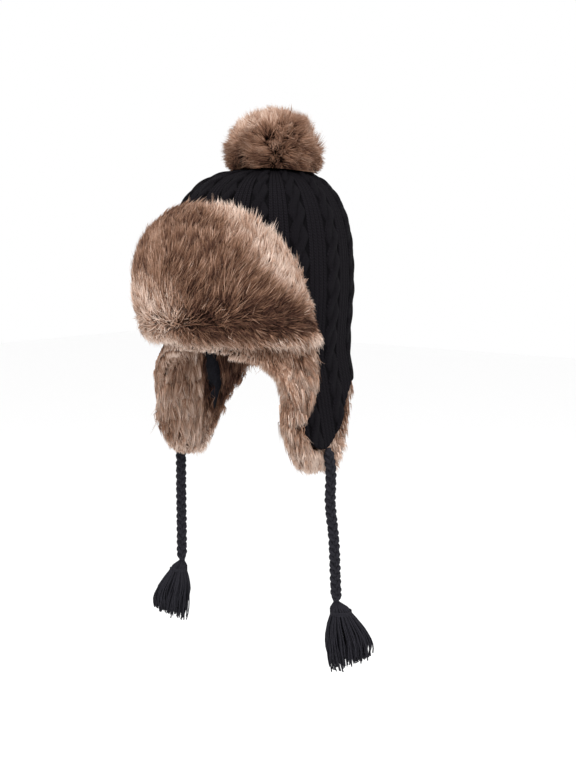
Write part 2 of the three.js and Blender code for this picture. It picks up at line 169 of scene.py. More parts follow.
def side_point(angle, height, offset):
    """Points at a height on the crown or the flaps, pushed out by offset."""
    share = ring_share(height)
    turn = np.radians(angle)
    round_x = CROWN_HALF_WIDTH * share * np.cos(turn)
    y = CROWN_HALF_LENGTH * share * np.sin(turn)
    hanging = 1 - smoothstep(height, FLAP_FREE_HEIGHT, FLAP_TOP_HEIGHT)
    flatness = hanging * smoothstep(y, *FLAP_FRONT) * (1 - smoothstep(y, *FLAP_REAR))
    side = np.sign(round_x)
    x = mix(round_x, side * flap_side(y, height), flatness)
    x = x + offset * mix(np.cos(turn), side, flatness)
    return np.stack([x, y + offset * np.sin(turn) + set_back(share), height + 0 * x], -1)


def dome_point(angle, rise, offset):
    """Points on the dome, where rise is 0 degrees at the widest ring and 90 at the top."""
    turn = np.radians(angle)
    share = np.maximum(np.cos(np.radians(rise)), 0) ** (2 / DOME_POWER)
    climb = np.sin(np.radians(rise)) ** (2 / DOME_POWER)
    x = (CROWN_HALF_WIDTH + offset) * share * np.cos(turn)
    y = (CROWN_HALF_LENGTH + offset) * share * np.sin(turn) + set_back(share)
    return np.stack([x, y, WIDEST_HEIGHT + (CROWN_TOP - WIDEST_HEIGHT + offset) * climb], -1)


def hem_height(angle):
    """The lower edge of the knit, rounded a little at its corners."""
    steps = np.linspace(-HEM_ROUNDING, HEM_ROUNDING, 7)
    from_ear = np.degrees(np.arcsin(np.sin(np.radians(angle[..., None] + steps))))
    return np.interp(from_ear, HEM_ANGLES, HEM_HEIGHTS).mean(-1)


def angle_from_ear(points):
    """How far round the crown from the ear points are, in degrees, minus in front."""
    sine = points[:, 1] / (CROWN_HALF_LENGTH * ring_share(points[:, 2]))
    return np.degrees(np.arcsin(np.clip(sine, -WIDEST_SINE, WIDEST_SINE)))


def outside_cloth(points):
    """How far outside the outer face of the cloth beside the ear points are."""
    return np.abs(points[:, 0]) - side_point(angle_from_ear(points), points[:, 2], 0)[..., 0]


def beside_cloth(points):
    """Whether the knit hangs beside points."""
    return points[:, 2] > hem_height(angle_from_ear(points)) - 1


def to_part(points):
    """Turns hat heights in millimetres into the part's own place in metres."""
    return np.asarray(points, float) * MM + np.array([0, 0, EAR_LINE])


def from_part(points):
    """Turns the part's own place in metres into hat heights in millimetres."""
    return (np.asarray(points, float) - np.array([0, 0, EAR_LINE])) / MM


def ripple(points, size, seed):
    """A smooth wavy value from about -1 to 1 with hills about size apart."""
    draw = np.random.default_rng(seed)
    total = np.zeros(len(points))
    for _ in range(RIPPLE_WAVES):
        heading = draw.normal(size=3)
        heading *= 2 * math.pi / size / np.linalg.norm(heading)
        total += np.sin(points @ heading * draw.uniform(*RIPPLE_SPREAD) + draw.uniform(0, ANY_PHASE))
    return total / RIPPLE_HEIGHT


def unit(vectors):
    """The same directions at length 1."""
    return vectors / np.maximum(np.linalg.norm(vectors, axis=-1, keepdims=True), 1e-9)


def link(name, mesh):
    """Puts a mesh in the scene as a piece that rides on the hat's one body."""
    piece = bpy.data.objects.new(name, mesh)
    bpy.context.collection.objects.link(piece)
    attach(piece, "root")
    return piece


def smooth_faces(mesh):
    """Shades a mesh smoothly."""
    mesh.polygons.foreach_set("use_smooth", [True] * len(mesh.polygons))


def mesh_of(shape, name):
    """Turns a finished bmesh into a smoothly shaded mesh."""
    mesh = bpy.data.meshes.new(name)
    shape.to_mesh(mesh)
    shape.free()
    smooth_faces(mesh)
    return mesh


# Materials. Colours are linear, in rows of (place on the ramp, colour).
# The fur's ramp: its dark low end is partly the roots' own colour and partly painted shade between the
# hairs.
FUR_STOPS = [
    (0.00, (0.020, 0.010, 0.007)),
    (0.22, (0.068, 0.030, 0.021)),
    (0.45, (0.225, 0.118, 0.073)),
    (0.68, (0.450, 0.285, 0.205)),
    (1.00, (0.820, 0.650, 0.550)),
]
# The backing's dark browns are partly the base's own colour and partly painted shade deep in the pile.
BACKING_STOPS = [(0.3, (0.012, 0.007, 0.005)), (0.7, (0.075, 0.042, 0.028))]
KNIT_STOPS = [
    (0.00, (0.0030, 0.0026, 0.0034)),
    (0.45, (0.0078, 0.0068, 0.0086)),
    (0.90, (0.0160, 0.0142, 0.0180)),
]
YARN_STOPS = [(0.3, (0.006, 0.0058, 0.0075)), (0.7, (0.026, 0.025, 0.032))]
LINING_STOPS = [(0.3, (0.005, 0.005, 0.007)), (0.7, (0.013, 0.013, 0.018))]
STITCH_SLANT = 0.9
FUZZ_SHARE = 0.35
# How much the stitch beads lighten the knit's colour: painted shade between the stitches.
STITCH_SHARE = 0.45


def new_material(name):
    """An empty node material with its shader."""
    material = bpy.data.materials.new(name)
    material.use_nodes = True
    nodes = material.node_tree.nodes
    return material, nodes, material.node_tree.links, nodes["Principled BSDF"]


def attribute(nodes, name):
    """The socket of a number that the mesh carries."""
    node = nodes.new("ShaderNodeAttribute")
    node.attribute_name = name
    return node.outputs["Fac"]


def maths(nodes, links, operation, *values):
    """A maths node fed with numbers or sockets."""
    node = nodes.new("ShaderNodeMath")
    node.operation = operation
    for socket, value in zip(node.inputs, values):
        if isinstance(value, (int, float)):
            socket.default_value = value
        else:
            links.new(value, socket)
    return node.outputs[0]


def colour_by(nodes, links, shader, value, stops):
    """Colours a material by a ramp over value."""
    node = nodes.new("ShaderNodeValToRGB")
    elements = node.color_ramp.elements
    while len(elements) < len(stops):
        elements.new(0.5)
    for element, (place, colour) in zip(elements, stops):
        element.position = place
        element.color = (*colour, 1)
    links.new(value, node.inputs[0])
    links.new(node.outputs["Color"], shader.inputs["Base Color"])


def object_noise(nodes, links, scale, detail):
    """Noise over the piece's own coordinates."""
    place = nodes.new("ShaderNodeTexCoord")
    noise = nodes.new("ShaderNodeTexNoise")
    noise.inputs["Scale"].default_value = scale
    noise.inputs["Detail"].default_value = detail
    links.new(place.outputs["Object"], noise.inputs["Vector"])
    return noise.outputs["Fac"]


def raise_by(nodes, links, shader, height, strength, distance):
    """Raises the look of a surface by height, without changing its shape."""
    bump = nodes.new("ShaderNodeBump")
    bump.inputs["Strength"].default_value = strength
    bump.inputs["Distance"].default_value = distance
    links.new(height, bump.inputs["Height"])
    links.new(bump.outputs["Normal"], shader.inputs["Normal"])


def make_matt(shader, roughness, gloss):
    """Gives a material a matt finish with a little gloss."""
    shader.inputs["Roughness"].default_value = roughness
    shader.inputs["Specular IOR Level"].default_value = gloss


def fur_material():
    """Long-pile fur: dark at the root, partly its own colour and partly painted shade deep in the pile,
    brown in the middle and pale at the tip.
    """
    material, nodes, links, shader = new_material("long_pile_fur")
    work = partial(maths, nodes, links)
    reach = work("MULTIPLY_ADD", attribute(nodes, "pale"), 0.66, 0.30)
    lit = work("MULTIPLY", work("POWER", attribute(nodes, "along"), 0.6), reach)
    value = work("ADD", lit, attribute(nodes, "tone"))
    colour_by(nodes, links, shader, value, FUR_STOPS)
    make_matt(shader, 0.6, 0.06)
    return material


def fur_backing_material():
    """The dark woolly base between the roots of the fur: partly its own dark brown, partly painted shade
    deep in the pile.
    """
    material, nodes, links, shader = new_material("fur_backing")
    noise = object_noise(nodes, links, 260.0, 3.0)
    colour_by(nodes, links, shader, noise, BACKING_STOPS)
    raise_by(nodes, links, shader, noise, 0.8, 0.002)
    make_matt(shader, 0.9, 0.06)
    return material


def knit_material():
    """Near-black wool knit with a small V for each stitch, with painted shade between the stitches and
    in the creases.
    """
    material, nodes, links, shader = new_material("black_cable_knit")
    work = partial(maths, nodes, links)
    two_legs = work("MULTIPLY", work("FRACT", attribute(nodes, "stitch_across")), 2.0)
    leg = work("PINGPONG", two_legs, 1.0)
    slant = work("MULTIPLY_ADD", leg, -STITCH_SLANT, attribute(nodes, "stitch_along"))
    bead = work("ABSOLUTE", work("SINE", work("MULTIPLY", slant, math.pi)))
    width = work("SINE", work("MULTIPLY", work("FRACT", two_legs), math.pi))
    stitch = work("MULTIPLY", work("POWER", bead, 0.6), work("POWER", width, 0.5))
    fuzz = object_noise(nodes, links, 900.0, 3.0)
    raise_by(nodes, links, shader, work("MULTIPLY_ADD", fuzz, FUZZ_SHARE, stitch), 0.9, 0.0011)
    # The colour follows the stitch beads, lighter on top and darker between them as painted shade, plus
    # the yarn's own fuzzy tone.
    light = work("MULTIPLY_ADD", stitch, STITCH_SHARE, work("MULTIPLY", fuzz, FUZZ_SHARE))
    # Painted shade in the creases darkens the colour.
    value = work("SUBTRACT", light, attribute(nodes, "painted_crease_shade"))
    colour_by(nodes, links, shader, value, KNIT_STOPS)
    make_matt(shader, 0.8, 0.04)
    return material


def yarn_material():
    """Loose black yarn, for the ties and the tassels."""
    material, nodes, links, shader = new_material("black_yarn")
    fuzz = object_noise(nodes, links, 1400.0, 3.0)
    colour_by(nodes, links, shader, fuzz, YARN_STOPS)
    raise_by(nodes, links, shader, fuzz, 0.6, 0.0004)
    make_matt(shader, 0.7, 0.08)
    return material


def lining_material():
    """The plain black cloth between the fur of an earflap."""
    material, nodes, links, shader = new_material("black_lining_cloth")
    noise = object_noise(nodes, links, 400.0, 2.0)
    colour_by(nodes, links, shader, noise, LINING_STOPS)
    make_matt(shader, 0.7, 0.08)
    return material


# The knitted crown and earflaps: cables of two strands, with narrow ribs between them.
CABLE_COUNT = 14
FIRST_CABLE_ANGLE = 4
CABLE_MIDDLE = 0.3
CABLE_HALF_SHARE = 0.24
CABLE_TWIST = 26
STRAND_SWING = 0.46
STRAND_HALF_WIDTH = 0.56
STRAND_HEIGHT = 2.9
STRAND_OVER = 1.0
GROOVE = -1.5
RIB_COUNT = 4
RIB_HEIGHT = 1.5
RIB_ROUNDNESS = 0.6
# The painted shade in the knit's creases: how fast it deepens with the groove, where it starts and its
# darkest.
CREASE_SLOPE = 0.6
CREASE_START = 0.25
DARKEST_CREASE = 0.6
STITCH_ROW = 3.1
GATHER = (0.15, 0.5)
SAME_STITCH = 2e-5
KNIT_COLUMNS = CABLE_COUNT * 32
DOME_ROWS = 84
SIDE_ROWS = 70
INNER_SIDE_ROWS = 12
INNER_DOME_ROWS = 14
HEM_BULGE = [(0.75, 1.0), (0.45, 1.5), (0.0, 1.2)]


def knit_relief(share, fall):
    """How far the knit stands out, with the stitch columns and the painted shade of the creases, over
    one repeat.
    """
    x = (share - CABLE_MIDDLE) / CABLE_HALF_SHARE
    phase = math.pi * fall / CABLE_TWIST
    best = np.full(share.shape, GROOVE)
    stitch = np.zeros(share.shape)
    for turn in (1, -1):
        centre = turn * STRAND_SWING * np.cos(phase)
        reach = (x - centre) / STRAND_HALF_WIDTH
        strand = GROOVE + STRAND_HEIGHT * np.sqrt(np.clip(1 - reach ** 2, 0, 1))
        strand = strand + turn * STRAND_OVER * np.sin(phase) * (strand > GROOVE)
        on_top = strand > best
        stitch = np.where(on_top, 2 * reach + 2, stitch)
        best = np.where(on_top, strand, best)
    cable = np.abs(x) < 1
    rib_start = CABLE_MIDDLE + CABLE_HALF_SHARE
    rib = np.clip(((share - rib_start) % 1) / (1 - 2 * CABLE_HALF_SHARE), 0, 1)
    ribs = GROOVE + RIB_HEIGHT * np.abs(np.sin(RIB_COUNT * math.pi * rib)) ** RIB_ROUNDNESS
    relief = np.where(cable, best, ribs)
    # Painted shade, deeper where the knit lies lower.
    painted_crease_shade = np.clip(-CREASE_SLOPE * relief - CREASE_START, 0, DARKEST_CREASE)
    return relief, np.where(cable, stitch, RIB_COUNT * rib), painted_crease_shade


def dome_rises():
    """Rises for the dome's rows, evenly spaced along its outline, with their distance from the top."""
    fine = np.linspace(90, 0, 400)
    outline = dome_point(np.full(len(fine), -90.0), fine, 0)
    steps = np.linalg.norm(np.diff(outline, axis=0), axis=1)
    travelled = np.concatenate([[0], np.cumsum(steps)])
    even = np.linspace(0, travelled[-1], DOME_ROWS + 1)
    return np.interp(even, travelled, fine), even


def knit_rows(rises, dome_fall):
    """The knit's rows: down the outside from the top, round the hem and up the inside.

    Each row has its kind, its rise, share of the side or drop below the hem, its distance from
    the top on the dome, and how far it lies toward the outer face, from 0 to 1.
    """
    rows = [("dome", rise, fall, 1.0) for rise, fall in zip(rises, dome_fall)]
    rows += [("side", step / SIDE_ROWS, 0, 1.0) for step in range(1, SIDE_ROWS + 1)]
    rows += [("hem", drop, 0, outward) for outward, drop in HEM_BULGE]
    rows += [("side", 1 - step / INNER_SIDE_ROWS, 0, 0.0) for step in range(INNER_SIDE_ROWS + 1)]
    rows += [("dome", 90 * step / INNER_DOME_ROWS, 0, 0.0) for step in range(1, INNER_DOME_ROWS + 1)]
    return rows


def knit_points(u, v):
    """Places of the knit's grid, with its stitch columns, stitch rows and the painted shade of its
    creases.
    """
    rises, dome_fall = dome_rises()
    rows = knit_rows(rises, dome_fall)
    repeats = u * CABLE_COUNT
    angle = FIRST_CABLE_ANGLE + 360 / CABLE_COUNT * (repeats - CABLE_MIDDLE)
    share = repeats - np.floor(repeats + 1e-6)
    hem = hem_height(angle)
    row_of = np.rint(v * (len(rows) - 1)).astype(int)
    points = np.zeros((len(u), 3))
    across = np.zeros(len(u))
    along = np.zeros(len(u))
    painted_crease_shade = np.zeros(len(u))
    for number, (kind, value, fall, outward) in enumerate(rows):
        here = row_of == number
        if kind == "dome":
            travelled = np.full(here.sum(), float(fall))
        else:
            down = value if kind == "side" else 1.0
            travelled = dome_fall[-1] + down * (WIDEST_HEIGHT - hem[here])
        relief, stitch, dark = knit_relief(share[here], travelled)
        if kind == "dome":
            width = np.maximum(math.cos(math.radians(value)), 0) ** (2 / DOME_POWER)
            relief = relief * np.clip((width - GATHER[0]) / (GATHER[1] - GATHER[0]), 0, 1)
            offset = mix(-KNIT_WALL, relief, outward)
            points[here] = dome_point(angle[here], value, offset)
        else:
            height = mix(WIDEST_HEIGHT, hem[here], down) - (value if kind == "hem" else 0)
            points[here] = side_point(angle[here], height, mix(-KNIT_WALL, relief, outward))
        across[here] = stitch
        along[here] = travelled / STITCH_ROW
        painted_crease_shade[here] = dark
    return points, across, along, painted_crease_shade


def make_knit(material):
    """The knitted crown with both earflaps, one closed wall."""
    row_count = DOME_ROWS + SIDE_ROWS + len(HEM_BULGE) + INNER_SIDE_ROWS + 1 + INNER_DOME_ROWS
    shape = bmesh.new()
    bmesh.ops.create_grid(shape, x_segments=KNIT_COLUMNS, y_segments=row_count, size=0.5)
    flat = np.array([vert.co[:] for vert in shape.verts])
    points, across, along, painted_crease_shade = knit_points(flat[:, 0] + 0.5, flat[:, 1] + 0.5)
    # The last attribute is the painted shade of the creases.
    names = ("stitch_across", "stitch_along", "painted_crease_shade")
    layers = [shape.verts.layers.float.new(name) for name in names]
    for vert, point, *values in zip(shape.verts, to_part(points), across, along, painted_crease_shade):
        vert.co = point
        for layer, value in zip(layers, values):
            vert[layer] = value
    bmesh.ops.remove_doubles(shape, verts=shape.verts, dist=SAME_STITCH)
    bmesh.ops.recalc_face_normals(shape, faces=shape.faces)
    mesh = mesh_of(shape, "cable_knit")
    mesh.materials.append(material)
    piece = link("cable_knit", mesh)
    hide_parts("knit_shell")


# Fur: a backing drawn in from the form of each pad, and thousands of hairs that grow on it.
class Pile(NamedTuple):
    """How the fur of one pad grows, in millimetres, and the backing that it grows on.

    The heights are the ranges by which the hairs of a lock, and each hair, stand out of the pad's
    form. The backing is drawn in by its depth, but by no more than its share of the thickness.
    """
    hairs: int
    length: float
    length_shares: tuple
    radii: tuple
    stray: float
    lock_width: float
    lock_pull: float
    lock_heights: tuple
    hair_heights: tuple
    hair_tones: float
    lock_tones: float
    backing_depth: float
    backing_share: float
    smoothings: int


FRONT_PILE = Pile(
    hairs=32000, length=23, length_shares=(0.6, 1.15), radii=(0.28, 0.55), stray=0.26,
    lock_width=5.5, lock_pull=0.42, lock_heights=(-4.0, 2.0), hair_heights=(-2.0, 2.0),
    hair_tones=0.09, lock_tones=0.08, backing_depth=13, backing_share=0.33, smoothings=6,
)
EAR_PILE = Pile(
    hairs=19500, length=31, length_shares=(0.6, 1.15), radii=(0.30, 0.58), stray=0.11,
    lock_width=5.5, lock_pull=0.32, lock_heights=(-3.5, 1.5), hair_heights=(-1.5, 1.5),
    hair_tones=0.085, lock_tones=0.08, backing_depth=6, backing_share=0.25, smoothings=3,
)
POMPOM_PILE = Pile(
    hairs=26000, length=30, length_shares=(0.55, 1.1), radii=(0.28, 0.55), stray=0.26,
    lock_width=6.0, lock_pull=0.48, lock_heights=(-5.0, 3.0), hair_heights=(-2.0, 2.0),
    hair_tones=0.07, lock_tones=0.07, backing_depth=20, backing_share=0.33, smoothings=3,
)

# The backing, in metres, and the slope past which a face counts as its seat.
SAME_CORNER = 1e-6
JUST_INSIDE = 1e-4
SEAT_FACING = -0.7
LAST_SMOOTHINGS = 3

# How a hair bends from its root to its tip, as shares of its lean and its length.
ROOT_TURN = 0.35
TIP_TURN = 1.6
TIP_DROP = 0.75
LOWER_HALF = 0.45
UPPER_HALF = 0.6

# Locks, and how far hairs are kept off the crown and below their tips, in millimetres.
FEWEST_LOCKS = 8
FEWEST_HAIRS_IN_LOCK = 4
PULL_SHARES = (0.55, 1.0)
MIDDLE_PULL = 0.4
MIDDLE_CLEARANCE = 2.5
BELOW_TIPS = 2
CROWN_MEAN_RADIUS = 100

# One hair: its root, three corners at its middle and its tip. Past FOLDED, a cosine, it is straightened.
HAIR_FACES = [[0, 2, 1], [0, 3, 2], [0, 1, 3], [1, 2, 4], [2, 3, 4], [3, 1, 4]]
HAIR_SHARES = [0.0, 0.5, 0.5, 0.5, 1.0]
FOLDED = 0.1


def smooth_form(shape, rounds):
    """Smooths a bmesh a number of times."""
    for _ in range(rounds):
        bmesh.ops.smooth_vert(
            shape, verts=shape.verts, factor=0.5, use_axis_x=True, use_axis_y=True, use_axis_z=True)


def fur_backing(node, pile, seated=False):
    """A smooth closed copy of a fur pad's form, drawn in all round, but not at its seat."""
    shape = bmesh.new()
    shape.from_mesh(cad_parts[node].data)
    bmesh.ops.remove_doubles(shape, verts=shape.verts, dist=SAME_CORNER)
    bmesh.ops.subdivide_edges(shape, edges=shape.edges[:], cuts=1, use_grid_fill=True)
    smooth_form(shape, pile.smoothings)
    bmesh.ops.triangulate(shape, faces=shape.faces)
    bmesh.ops.recalc_face_normals(shape, faces=shape.faces)
    shape.normal_update()
    tree = BVHTree.FromBMesh(shape)
    moves = []
    for vert in shape.verts:
        start = vert.co - vert.normal * JUST_INSIDE
        thickness = tree.ray_cast(start, -vert.normal)[3] or 0
        inward = min(pile.backing_depth * MM, pile.backing_share * thickness)
        if seated and vert.normal.z < SEAT_FACING:
            inward = 0
        moves.append(-vert.normal * inward)
    for vert, move in zip(shape.verts, moves):
        vert.co += move
    smooth_form(shape, LAST_SMOOTHINGS)
    shape.normal_update()
    return mesh_of(shape, node + "_backing")


def form_of(node):
    """A search tree over the form of a pad."""
    shape = bmesh.new()
    shape.from_mesh(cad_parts[node].data)
    tree = BVHTree.FromBMesh(shape)
    shape.free()
    return tree


def trimmed(points, form, proud):
    """Draws points that stand out of a form by more than proud back to that distance."""
    moved = to_part(points)
    for number, limit in enumerate(proud * MM):
        point = Vector(moved[number])
        near, normal, _, distance = form.find_nearest(point)
        height = distance if (point - near).dot(normal) > 0 else -distance
        if height > limit:
            moved[number] = near + (point - near) * (limit / height)
    return from_part(moved)


def read_back(values, name, kind, width):
    """Reads one property of all items of a mesh into rows of width numbers."""
    rows = np.zeros(len(values) * width, kind)
    values.foreach_get(name, rows)
    return rows.reshape(-1, width)


def scatter(mesh, count, draw, keep):
    """Random places on a mesh with their outward directions, weighted by area times keep."""
    mesh.calc_loop_triangles()
    corners = read_back(mesh.loop_triangles, "vertices", int, 3)
    places = from_part(read_back(mesh.vertices, "co", float, 3))
    normals = read_back(mesh.vertices, "normal", float, 3)
    first, second, third = (places[corners[:, side]] for side in range(3))
    area = np.linalg.norm(np.cross(second - first, third - first), axis=1)
    middle = (first + second + third) / 3
    facing = unit(normals[corners].sum(1))
    area = area * keep(middle, facing)
    chosen = draw.choice(len(area), count, p=area / area.sum())
    one, two = draw.random(count), draw.random(count)
    over = one + two > 1
    one, two = np.where(over, 1 - one, one), np.where(over, 1 - two, two)
    weights = np.stack([1 - one - two, one, two], 1)[:, :, None]
    roots = (places[corners[chosen]] * weights).sum(1)
    outward = unit((normals[corners[chosen]] * weights).sum(1))
    return roots, outward


def gather_in_locks(roots, middles, tips, width, pull, draw):
    """Draws the tips of neighbouring hairs together into pointed locks, each with a leader."""
    box = np.ptp(roots, axis=0)
    box_surface = 2.0 * (box[0] * box[1] + box[1] * box[2] + box[2] * box[0])
    lock_count = max(int(box_surface / width ** 2), FEWEST_LOCKS)
    lock_count = min(lock_count, len(roots) // FEWEST_HAIRS_IN_LOCK)
    leaders = draw.choice(len(roots), lock_count, replace=False)
    tree = KDTree(lock_count)
    for number, leader in enumerate(leaders):
        tree.insert(roots[leader], number)
    tree.balance()
    nearest = leaders[[tree.find(root)[1] for root in roots]]
    strength = (pull * draw.uniform(*PULL_SHARES, len(roots)))[:, None]
    tips = mix(tips, tips[nearest], strength)
    middles = mix(middles, middles[nearest], strength * MIDDLE_PULL)
    return middles, tips, nearest


def comb(roots, outward, toward, lean, length, draw, stray, stand=1.0):
    """Middles and tips of hairs that leave along outward and turn toward a direction."""
    aside = draw.normal(size=(len(roots), 3)) * stray
    start = unit(stand * outward + ROOT_TURN * lean[:, None] * toward + aside * 0.5)
    end = unit(outward * (1 - TIP_DROP * lean[:, None]) + TIP_TURN * lean[:, None] * toward + aside)
    middles = roots + start * (LOWER_HALF * length)[:, None]
    tips = middles + end * (UPPER_HALF * length)[:, None]
    return middles, tips


def comb_in_locks(roots, outward, toward, lean, length, pile, draw):
    """Combs the hairs of a pad and gathers them in locks."""
    middles, tips = comb(roots, outward, toward, lean, length, draw, pile.stray)
    return gather_in_locks(roots, middles, tips, pile.lock_width, pile.lock_pull, draw)


def uneven_height(lock, by_lock, by_hair, draw):
    """How far hairs may stand out of the form, drawn once for each lock and once for each hair."""
    count = len(lock)
    return draw.uniform(*by_lock, count)[lock] + draw.uniform(*by_hair, count)


def uneven_tone(lock, pile, draw):
    """How much paler or darker than their neighbours hairs are, by themselves and with their lock."""
    by_hair = pile.hair_tones * draw.normal(size=len(lock))
    return by_hair + pile.lock_tones * draw.normal(size=len(lock))[lock]


def hair_mesh(name, roots, middles, tips, radii, draw, values):
    """Closed spindles from root to tip, three-sided at the middle, joined in one mesh."""
    count = len(roots)
    radius = draw.uniform(*radii, count)
    first, second = unit(middles - roots), unit(tips - middles)
    folded = (first * second).sum(1) < FOLDED
    middles = np.where(folded[:, None], (roots + tips) / 2, middles)
    axis = unit(tips - roots)
    side = unit(np.cross(axis, draw.normal(size=(count, 3))))
    up = np.cross(axis, side)
    corners = [roots]
    for turn in (0, 2 * math.pi / 3, 4 * math.pi / 3):
        corners.append(middles + radius[:, None] * (math.cos(turn) * side + math.sin(turn) * up))
    corners.append(tips)
    points = to_part(np.stack(corners, 1).reshape(-1, 3))
    first_corners = len(corners) * np.arange(count)[:, None, None]
    faces = (np.array(HAIR_FACES)[None] + first_corners).reshape(-1, 3)
    mesh = bpy.data.meshes.new(name)
    mesh.vertices.add(len(points))
    mesh.vertices.foreach_set("co", points.ravel())
    mesh.loops.add(faces.size)
    mesh.loops.foreach_set("vertex_index", faces.ravel())
    mesh.polygons.add(len(faces))
    mesh.polygons.foreach_set("loop_start", np.arange(0, faces.size, 3))
    mesh.update(calc_edges=True)
    smooth_faces(mesh)
    columns = {"along": np.tile(HAIR_SHARES, count)}
    columns.update({key: np.repeat(value, len(corners)) for key, value in values.items()})
    for key, column in columns.items():
        mesh.attributes.new(key, "FLOAT", "POINT").data.foreach_set("value", column)
    return mesh


def add_fur(name, node, backing, hairs, materials, side_name=""):
    """Puts a pad's backing and hairs in the scene in place of its solid."""
    base = link(name + "_backing" + side_name, backing)
    hairs.materials.append(materials["fur"])
    fur = link(name + "_fur" + side_name, hairs)
    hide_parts(node)


def clear_of_crown(points, margin):
    """Pushes points that lie inside the crown's outer face out to margin above it."""
    x, y, height = points.T
    rise = height - WIDEST_HEIGHT
    climb = np.clip(rise / (CROWN_TOP - WIDEST_HEIGHT), 0, None)
    long_share = (y - set_back(ring_share(height))) / CROWN_HALF_LENGTH
    share = np.sqrt((x / CROWN_HALF_WIDTH) ** 2 + long_share ** 2)
    side = share / ring_share(np.minimum(height, WIDEST_HEIGHT))
    dome = (share ** DOME_POWER + climb ** DOME_POWER) ** (1 / DOME_POWER)
    depth = np.where(height > WIDEST_HEIGHT, dome, side)
    wanted = 1 + margin / CROWN_MEAN_RADIUS
    push = np.where(depth < wanted, wanted / np.maximum(depth, 0.05), 1.0)
    moved = points.copy()
    moved[:, 0] *= push
    moved[:, 1] *= push
    moved[:, 2] = np.where(height > WIDEST_HEIGHT, WIDEST_HEIGHT + rise * push, height)
    return moved


def soft_spot(aside, height, middle, reach):
    """1 at the middle of an oval patch seen from the front left, and 0 beyond its reach."""
    far = np.hypot((aside - middle[0]) / reach[0], (height - middle[1]) / reach[1])
    return 1 - smoothstep(far, 0.3, 1.0)


def aside_of(points):
    """How far to the right of the hat's axis points are, seen from the front left."""
    heading = math.radians(CAMERA_AZIMUTH)
    return points[:, 0] * math.cos(heading) + points[:, 1] * math.sin(heading)


# The turned-up front flap. Its hairs fan out from a parting that bends along its lower half.
FRONT_BOTTOM = 50
FRONT_HEIGHT = 147
FRONT_REACH = 77
FRONT_SPREAD = 2.4
FRONT_SHOULDER = 0.6
FRONT_PARTING = 72
FRONT_PARTING_REACH = 48
FRONT_PARTING_BEND = 5
FRONT_PARTING_DEPTHS = [(0, 44), (38, 36), (55, 28), (77, 8)]
FRONT_SEAT = 3.3
FRONT_SWIRL = 0.4
FRONT_LEAST_TOP = 0.15
FRONT_TIP_CLEARANCE = 4.0

# Where parts of the flap start and are full: its lower edge by height, its ends by angle, its rims by
# the share of its height, and the painted shade of the crease by the distance from the parting.
FRONT_LOW = (58, 70)
FRONT_ENDS = (52, 74)
FRONT_RIM = (0.72, 0.98)
FRONT_TOP_RIM = (0.86, 1.0)
FRONT_CREASE_SHADE = (10, 34)

# The edge of the pale band on the right, then spots as (aside, height) of their middle and reach.
PALE_HEIGHTS = [66, 84, 118, 150, 185]
PALE_ASIDES = [60, 37, -4, -30, -54]
LEFT_PALE_SPOT = ((-112, 80), (50, 46))
DARK_SPOTS = [((-22, 152), (16, 30)), ((20, 82), (38, 20))]


def front_frame(points):
    """The angle round the front and the share of the flap's height for points on it."""
    angle = np.degrees(np.arctan2(points[:, 0], -points[:, 1]))
    across = np.clip(np.abs(angle) / FRONT_REACH, 0, 1)
    top = np.maximum((1 - across ** FRONT_SPREAD) ** FRONT_SHOULDER, FRONT_LEAST_TOP)
    return angle, (points[:, 2] - FRONT_BOTTOM) / (FRONT_HEIGHT * top)


def from_parting(roots, angle):
    """The way from the nearest place of the front flap's parting to each root."""
    held = np.clip(angle, -FRONT_PARTING_REACH, FRONT_PARTING_REACH)
    depth = np.interp(np.abs(held), *zip(*FRONT_PARTING_DEPTHS))
    along = np.stack([held, 0 * held, 0 * held], 1)
    bend = FRONT_PARTING_BEND * ripple(along, size=40, seed=8)
    return roots - side_point(held - 90, FRONT_PARTING + bend, FRONT_SEAT + depth)


def left_rim_of(rise, angle):
    """1 on the upper left part of the front flap's rim, as seen from the front left."""
    return smoothstep(rise, 0.35, 0.80) * smoothstep(-angle, 10, 50)


def front_height(rise, angle, low, lock, draw):
    """How far the front flap's hairs stand out, more along its lower edge and its ends."""
    count = len(lock)
    proud = uneven_height(lock, FRONT_PILE.lock_heights, FRONT_PILE.hair_heights, draw)
    proud += low * uneven_height(lock, (-1, 12), (1, 4), draw)
    right_rim = smoothstep(rise, 0.60, 0.90) * smoothstep(angle, 0, 35)
    left_rim = left_rim_of(rise, angle)
    proud += right_rim * draw.uniform(4, 14, count) + left_rim * draw.uniform(-3, 8, count)[lock]
    return proud


def under_rim(tips, angle, draw):
    """Keeps tips near the curved top edge of the front flap or below it."""
    across = np.clip(np.abs(front_frame(tips)[0]) / FRONT_REACH, 0, 1)
    highest = FRONT_BOTTOM + FRONT_HEIGHT * (1 - across ** FRONT_SPREAD) ** FRONT_SHOULDER
    ragged = draw.uniform(0, 6, len(tips)) + 12 * smoothstep(angle, 15, 45)
    kept = tips.copy()
    kept[:, 2] = np.minimum(tips[:, 2], highest + ragged)
    return kept


